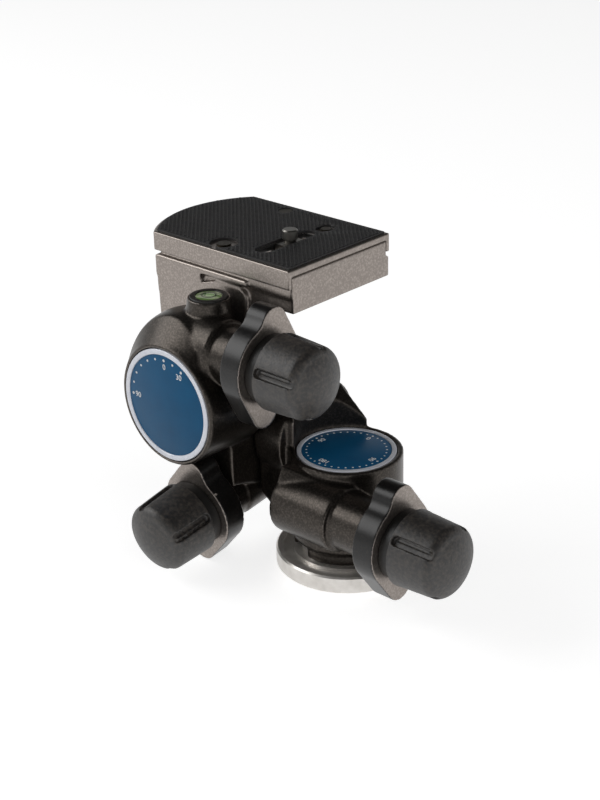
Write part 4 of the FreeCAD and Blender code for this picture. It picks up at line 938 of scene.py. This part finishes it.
class HEAD_OT_level(bpy.types.Operator):
    """Build the bubble level: bezel, domed vial, sight ring and bubble"""
    bl_idname = "tripod_head.level"
    bl_label = "Bubble level"

    def execute(self, context):
        low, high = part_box("level_bezel")
        vial_low, vial_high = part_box("level_vial")
        vial_radius = VIAL_SHARE * (vial_high.x - vial_low.x) / 2
        edge = Vector(((low.x + high.x) / 2, (low.y + high.y) / 2, high.z - CAP_DROP))
        crown = edge + Vector((0, 0, CAP_RISE * vial_radius))

        bezel = level_bezel(low, high, vial_radius)
        paint(bezel, finish_of("button"))
        stand_for(bezel, "level_bezel")
        cap = level_cap(edge, vial_radius)
        paint(cap, finish_of("vial"))
        stand_for(cap, "level_vial")
        for piece, finish in ((level_sight(crown), "button"), (level_bubble(crown), "bubble")):
            paint(piece, finish_of(finish))
            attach(piece, BODY_OF["level_vial"])
        return {"FINISHED"}


class HEAD_OT_pad(bpy.types.Operator):
    """Build the plate's rubber pad with its raised diamonds"""
    bl_idname = "tripod_head.pad"
    bl_label = "Plate pad"

    def execute(self, context):
        sizes = context.scene.tripod_head.sizes
        pitch, height = sizes.rib_pitch, sizes.rib_height
        low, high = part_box("plate_pad")
        middle = Vector(((low.x + high.x) / 2, (low.y + high.y) / 2, high.z))
        pad = merged_copy("plate_pad", "plate_pad_sheet")
        shape = pad_diamond(pitch * DIAMOND_WIDTH, height)
        corners = [(v.co.x, v.co.y) for v in shape.vertices if v.co.z < 0]
        reach = int((high - low).length / pitch) + 1
        built = bmesh.new()
        built.from_mesh(pad.data)
        for i in range(-reach, reach):
            for j in range(-reach, reach):
                spot = DIAMOND_TURN @ Vector((i * pitch, j * pitch, 0)) + middle
                if on_flat_top(pad, corners, spot):
                    old = len(built.verts)
                    built.from_mesh(shape)
                    built.verts.ensure_lookup_table()
                    for v in built.verts[old:]:
                        v.co = DIAMOND_TURN @ v.co + spot + Vector((0, 0, height * DIAMOND_LIFT))
        built.to_mesh(pad.data)
        built.free()
        shade(pad, DIAMOND_EDGE)
        paint(pad, finish_of("pad"))
        stand_for(pad, "plate_pad")
        return {"FINISHED"}


class HEAD_OT_stage(bpy.types.Operator):
    """Lay the floor, set the soft lights and aim the camera"""
    bl_idname = "tripod_head.stage"
    bl_label = "Floor, lights and camera"

    def execute(self, context):
        lay_floor()
        light_sky(context.scene)
        for name, place, size, power, mirrored in SOFT_BOXES:
            hang_soft_box(name, Vector(place), size, power, mirrored)
        aim_camera(context.scene)
        return {"FINISHED"}


# ---------------------------------------- stage
LOOK_AT = Vector((-0.02, -0.01, 0.06))
# Name, place, size in metres, power in watts, and whether it shows in glossy surfaces.
SOFT_BOXES = (
    ("left_soft_box", (-1.15, -0.75, 1.05), (1.5, 0.8), 13.0, True),
    ("right_soft_box", (1.35, -0.35, 1.00), (2.2, 1.4), 14.0, False),
)
FLOOR_SIZE = 60
FLOOR_GAP = 0.2 * MM       # under the head's lowest point
FLOOR_GLOW = 0.76          # with the lamps' light on it, it is just white to the camera
PAPER_CLOUD = 0.5          # between the paper's paler and darker patches
PAPER_DARK, PAPER_PALE = "#c9c9c9", "#cdcdcd"
HORIZON_LIGHT = 0.5        # light that the room gives near the floor
HORIZON_WHITE = 0.5        # what is added to it where the room is seen
OVERHEAD_LIGHT = 0.04
DARK_FROM, DARK_TO = 0.1, 0.5   # the room darkens between these heights of a direction one long
CAMERA_PLACE = Vector((0.41220, -0.46406, 0.35577))
CAMERA_AZIMUTH, CAMERA_ELEVATION, CAMERA_ROLL = 43.33, 24.47, -1.33
SENSOR = 36.0
FRAME_HEIGHT = 800
FOCAL_LENGTH = 1688.13     # in the frame's pixels
NEAREST, FURTHEST = 0.01, 100.0


def seen_rays(tree):
    """1 for what the camera sees directly, in metal or through glass, and 0 for the light on the head."""
    rays = add_node(tree, "ShaderNodeLightPath").outputs
    mirrored = add_node(tree, "ShaderNodeMath", {"operation": "MAXIMUM"},
                        {0: rays["Is Camera Ray"], 1: rays["Is Glossy Ray"]})
    seen = add_node(tree, "ShaderNodeMath", {"operation": "MAXIMUM"},
                    {0: mirrored.outputs["Value"], 1: rays["Is Transmission Ray"]})
    return seen.outputs["Value"]


def lay_floor():
    """Pale paper just under the head's lowest point, which keeps the shadow and shows white in metal."""
    bpy.ops.mesh.primitive_plane_add(size=FLOOR_SIZE, location=(0, 0, CAD_BOX[0].z - FLOOR_GAP))
    floor = fix_place(name_new("studio_floor"))
    material, tree, place = new_material("white_paper_floor")
    fibre = add_node(tree, "ShaderNodeTexNoise", inputs={"Vector": place, "Scale": 1 / PAPER_CLOUD})
    shade = add_node(tree, "ShaderNodeMix", {"data_type": "RGBA"},
                     {MIX_FACTOR: fibre.outputs["Fac"], MIX_A: tint(colour(PAPER_DARK)),
                      MIX_B: tint(colour(PAPER_PALE))})
    paper = add_node(tree, "ShaderNodeBsdfDiffuse", inputs={"Color": shade.outputs[MIX_RESULT]})
    strength = add_node(tree, "ShaderNodeMath", {"operation": "MULTIPLY"},
                        {0: seen_rays(tree), 1: FLOOR_GLOW})
    glow = add_node(tree, "ShaderNodeEmission", inputs={"Strength": strength.outputs["Value"]})
    both = add_node(tree, "ShaderNodeAddShader",
                    inputs={0: paper.outputs["BSDF"], 1: glow.outputs["Emission"]})
    add_node(tree, "ShaderNodeOutputMaterial", inputs={"Surface": both.outputs["Shader"]})
    paint(floor, material)


def light_sky(scene):
    """Room that is white near the floor and dark overhead, and gives half that light."""
    world = bpy.data.worlds.new("studio_room")
    scene.world = world
    world.use_nodes = True
    tree = world.node_tree
    tree.nodes.clear()
    direction = add_node(tree, "ShaderNodeTexCoord")
    height = add_node(tree, "ShaderNodeSeparateXYZ", inputs={"Vector": direction.outputs["Generated"]})
    horizon = add_node(tree, "ShaderNodeMath", {"operation": "MULTIPLY_ADD"},
                       {0: seen_rays(tree), 1: HORIZON_WHITE, 2: HORIZON_LIGHT})
    level = add_node(tree, "ShaderNodeMapRange",
                     inputs={"Value": height.outputs["Z"], "From Min": DARK_FROM, "From Max": DARK_TO,
                             "To Min": horizon.outputs["Value"], "To Max": OVERHEAD_LIGHT})
    sky = add_node(tree, "ShaderNodeBackground", inputs={"Strength": level.outputs["Result"]})
    add_node(tree, "ShaderNodeOutputWorld", inputs={"Surface": sky.outputs["Background"]})


def hang_soft_box(name, place, size, power, mirrored):
    """A large soft lamp aimed at the head."""
    bpy.ops.object.light_add(type="AREA", location=place)
    lamp = bpy.context.active_object
    lamp.name = lamp.data.name = name
    lamp.data.shape = "RECTANGLE"
    lamp.data.size, lamp.data.size_y = size
    lamp.data.energy = power
    lamp.visible_glossy = mirrored
    lamp.rotation_euler = (LOOK_AT - place).to_track_quat("-Z", "Y").to_euler()


def aim_camera(scene):
    """The camera, from its place, its direction and its slight roll."""
    azimuth, elevation, roll = (math.radians(a) for a in (CAMERA_AZIMUTH, CAMERA_ELEVATION, CAMERA_ROLL))
    back = Vector((math.sin(azimuth) * math.cos(elevation), -math.cos(azimuth) * math.cos(elevation),
                   math.sin(elevation)))
    level = Vector((math.cos(azimuth), math.sin(azimuth), 0))
    upright = back.cross(level)
    across = level * math.cos(roll) + upright * math.sin(roll)
    upward = upright * math.cos(roll) - level * math.sin(roll)
    turn = Matrix((across, upward, back)).transposed().to_4x4()
    bpy.ops.object.camera_add()
    camera = bpy.context.active_object
    camera.name = camera.data.name = "studio_camera"
    camera.matrix_world = Matrix.Translation(CAMERA_PLACE) @ turn
    camera.data.sensor_width = SENSOR
    camera.data.lens = FOCAL_LENGTH / FRAME_HEIGHT * SENSOR
    camera.data.clip_start, camera.data.clip_end = NEAREST, FURTHEST
    scene.camera = camera
    scene.view_settings.view_transform = "Standard"


# ---------------------------------------- panel and registration
class HEAD_PT_panel(bpy.types.Panel):
    """Lists the head's steps in order"""
    bl_idname = "HEAD_PT_panel"
    bl_label = "Geared tripod head"
    bl_space_type = "VIEW_3D"
    bl_region_type = "UI"
    bl_category = "Tripod head"

    def draw(self, context):
        settings = context.scene.tripod_head
        for group in (settings.sizes, settings.colours):
            box = self.layout.box()
            for name in group.__annotations__:
                box.prop(group, name)
        for step in STEPS:
            self.layout.operator(step.bl_idname)


STEPS = (HEAD_OT_finishes, HEAD_OT_castings, HEAD_OT_collars, HEAD_OT_grips, HEAD_OT_dials, HEAD_OT_level,
         HEAD_OT_pad, HEAD_OT_stage)
CLASSES = (HeadColours, HeadSizes, HeadSettings, *STEPS, HEAD_PT_panel)


def register():
    for item in CLASSES:
        bpy.utils.register_class(item)
    bpy.types.Scene.tripod_head = bpy.props.PointerProperty(
        name="Tripod head", description="Settings of the head", type=HeadSettings)


def unregister():
    del bpy.types.Scene.tripod_head
    for item in reversed(CLASSES):
        bpy.utils.unregister_class(item)


def main():
    """Builds the head step by step."""
    register()
    deselect()
    bpy.ops.tripod_head.finishes()
    bpy.ops.tripod_head.castings()
    bpy.ops.tripod_head.collars()
    bpy.ops.tripod_head.grips()
    bpy.ops.tripod_head.dials()
    bpy.ops.tripod_head.level()
    bpy.ops.tripod_head.pad()
    bpy.ops.tripod_head.stage()
    deselect()


if __name__ == "__main__":
    main()
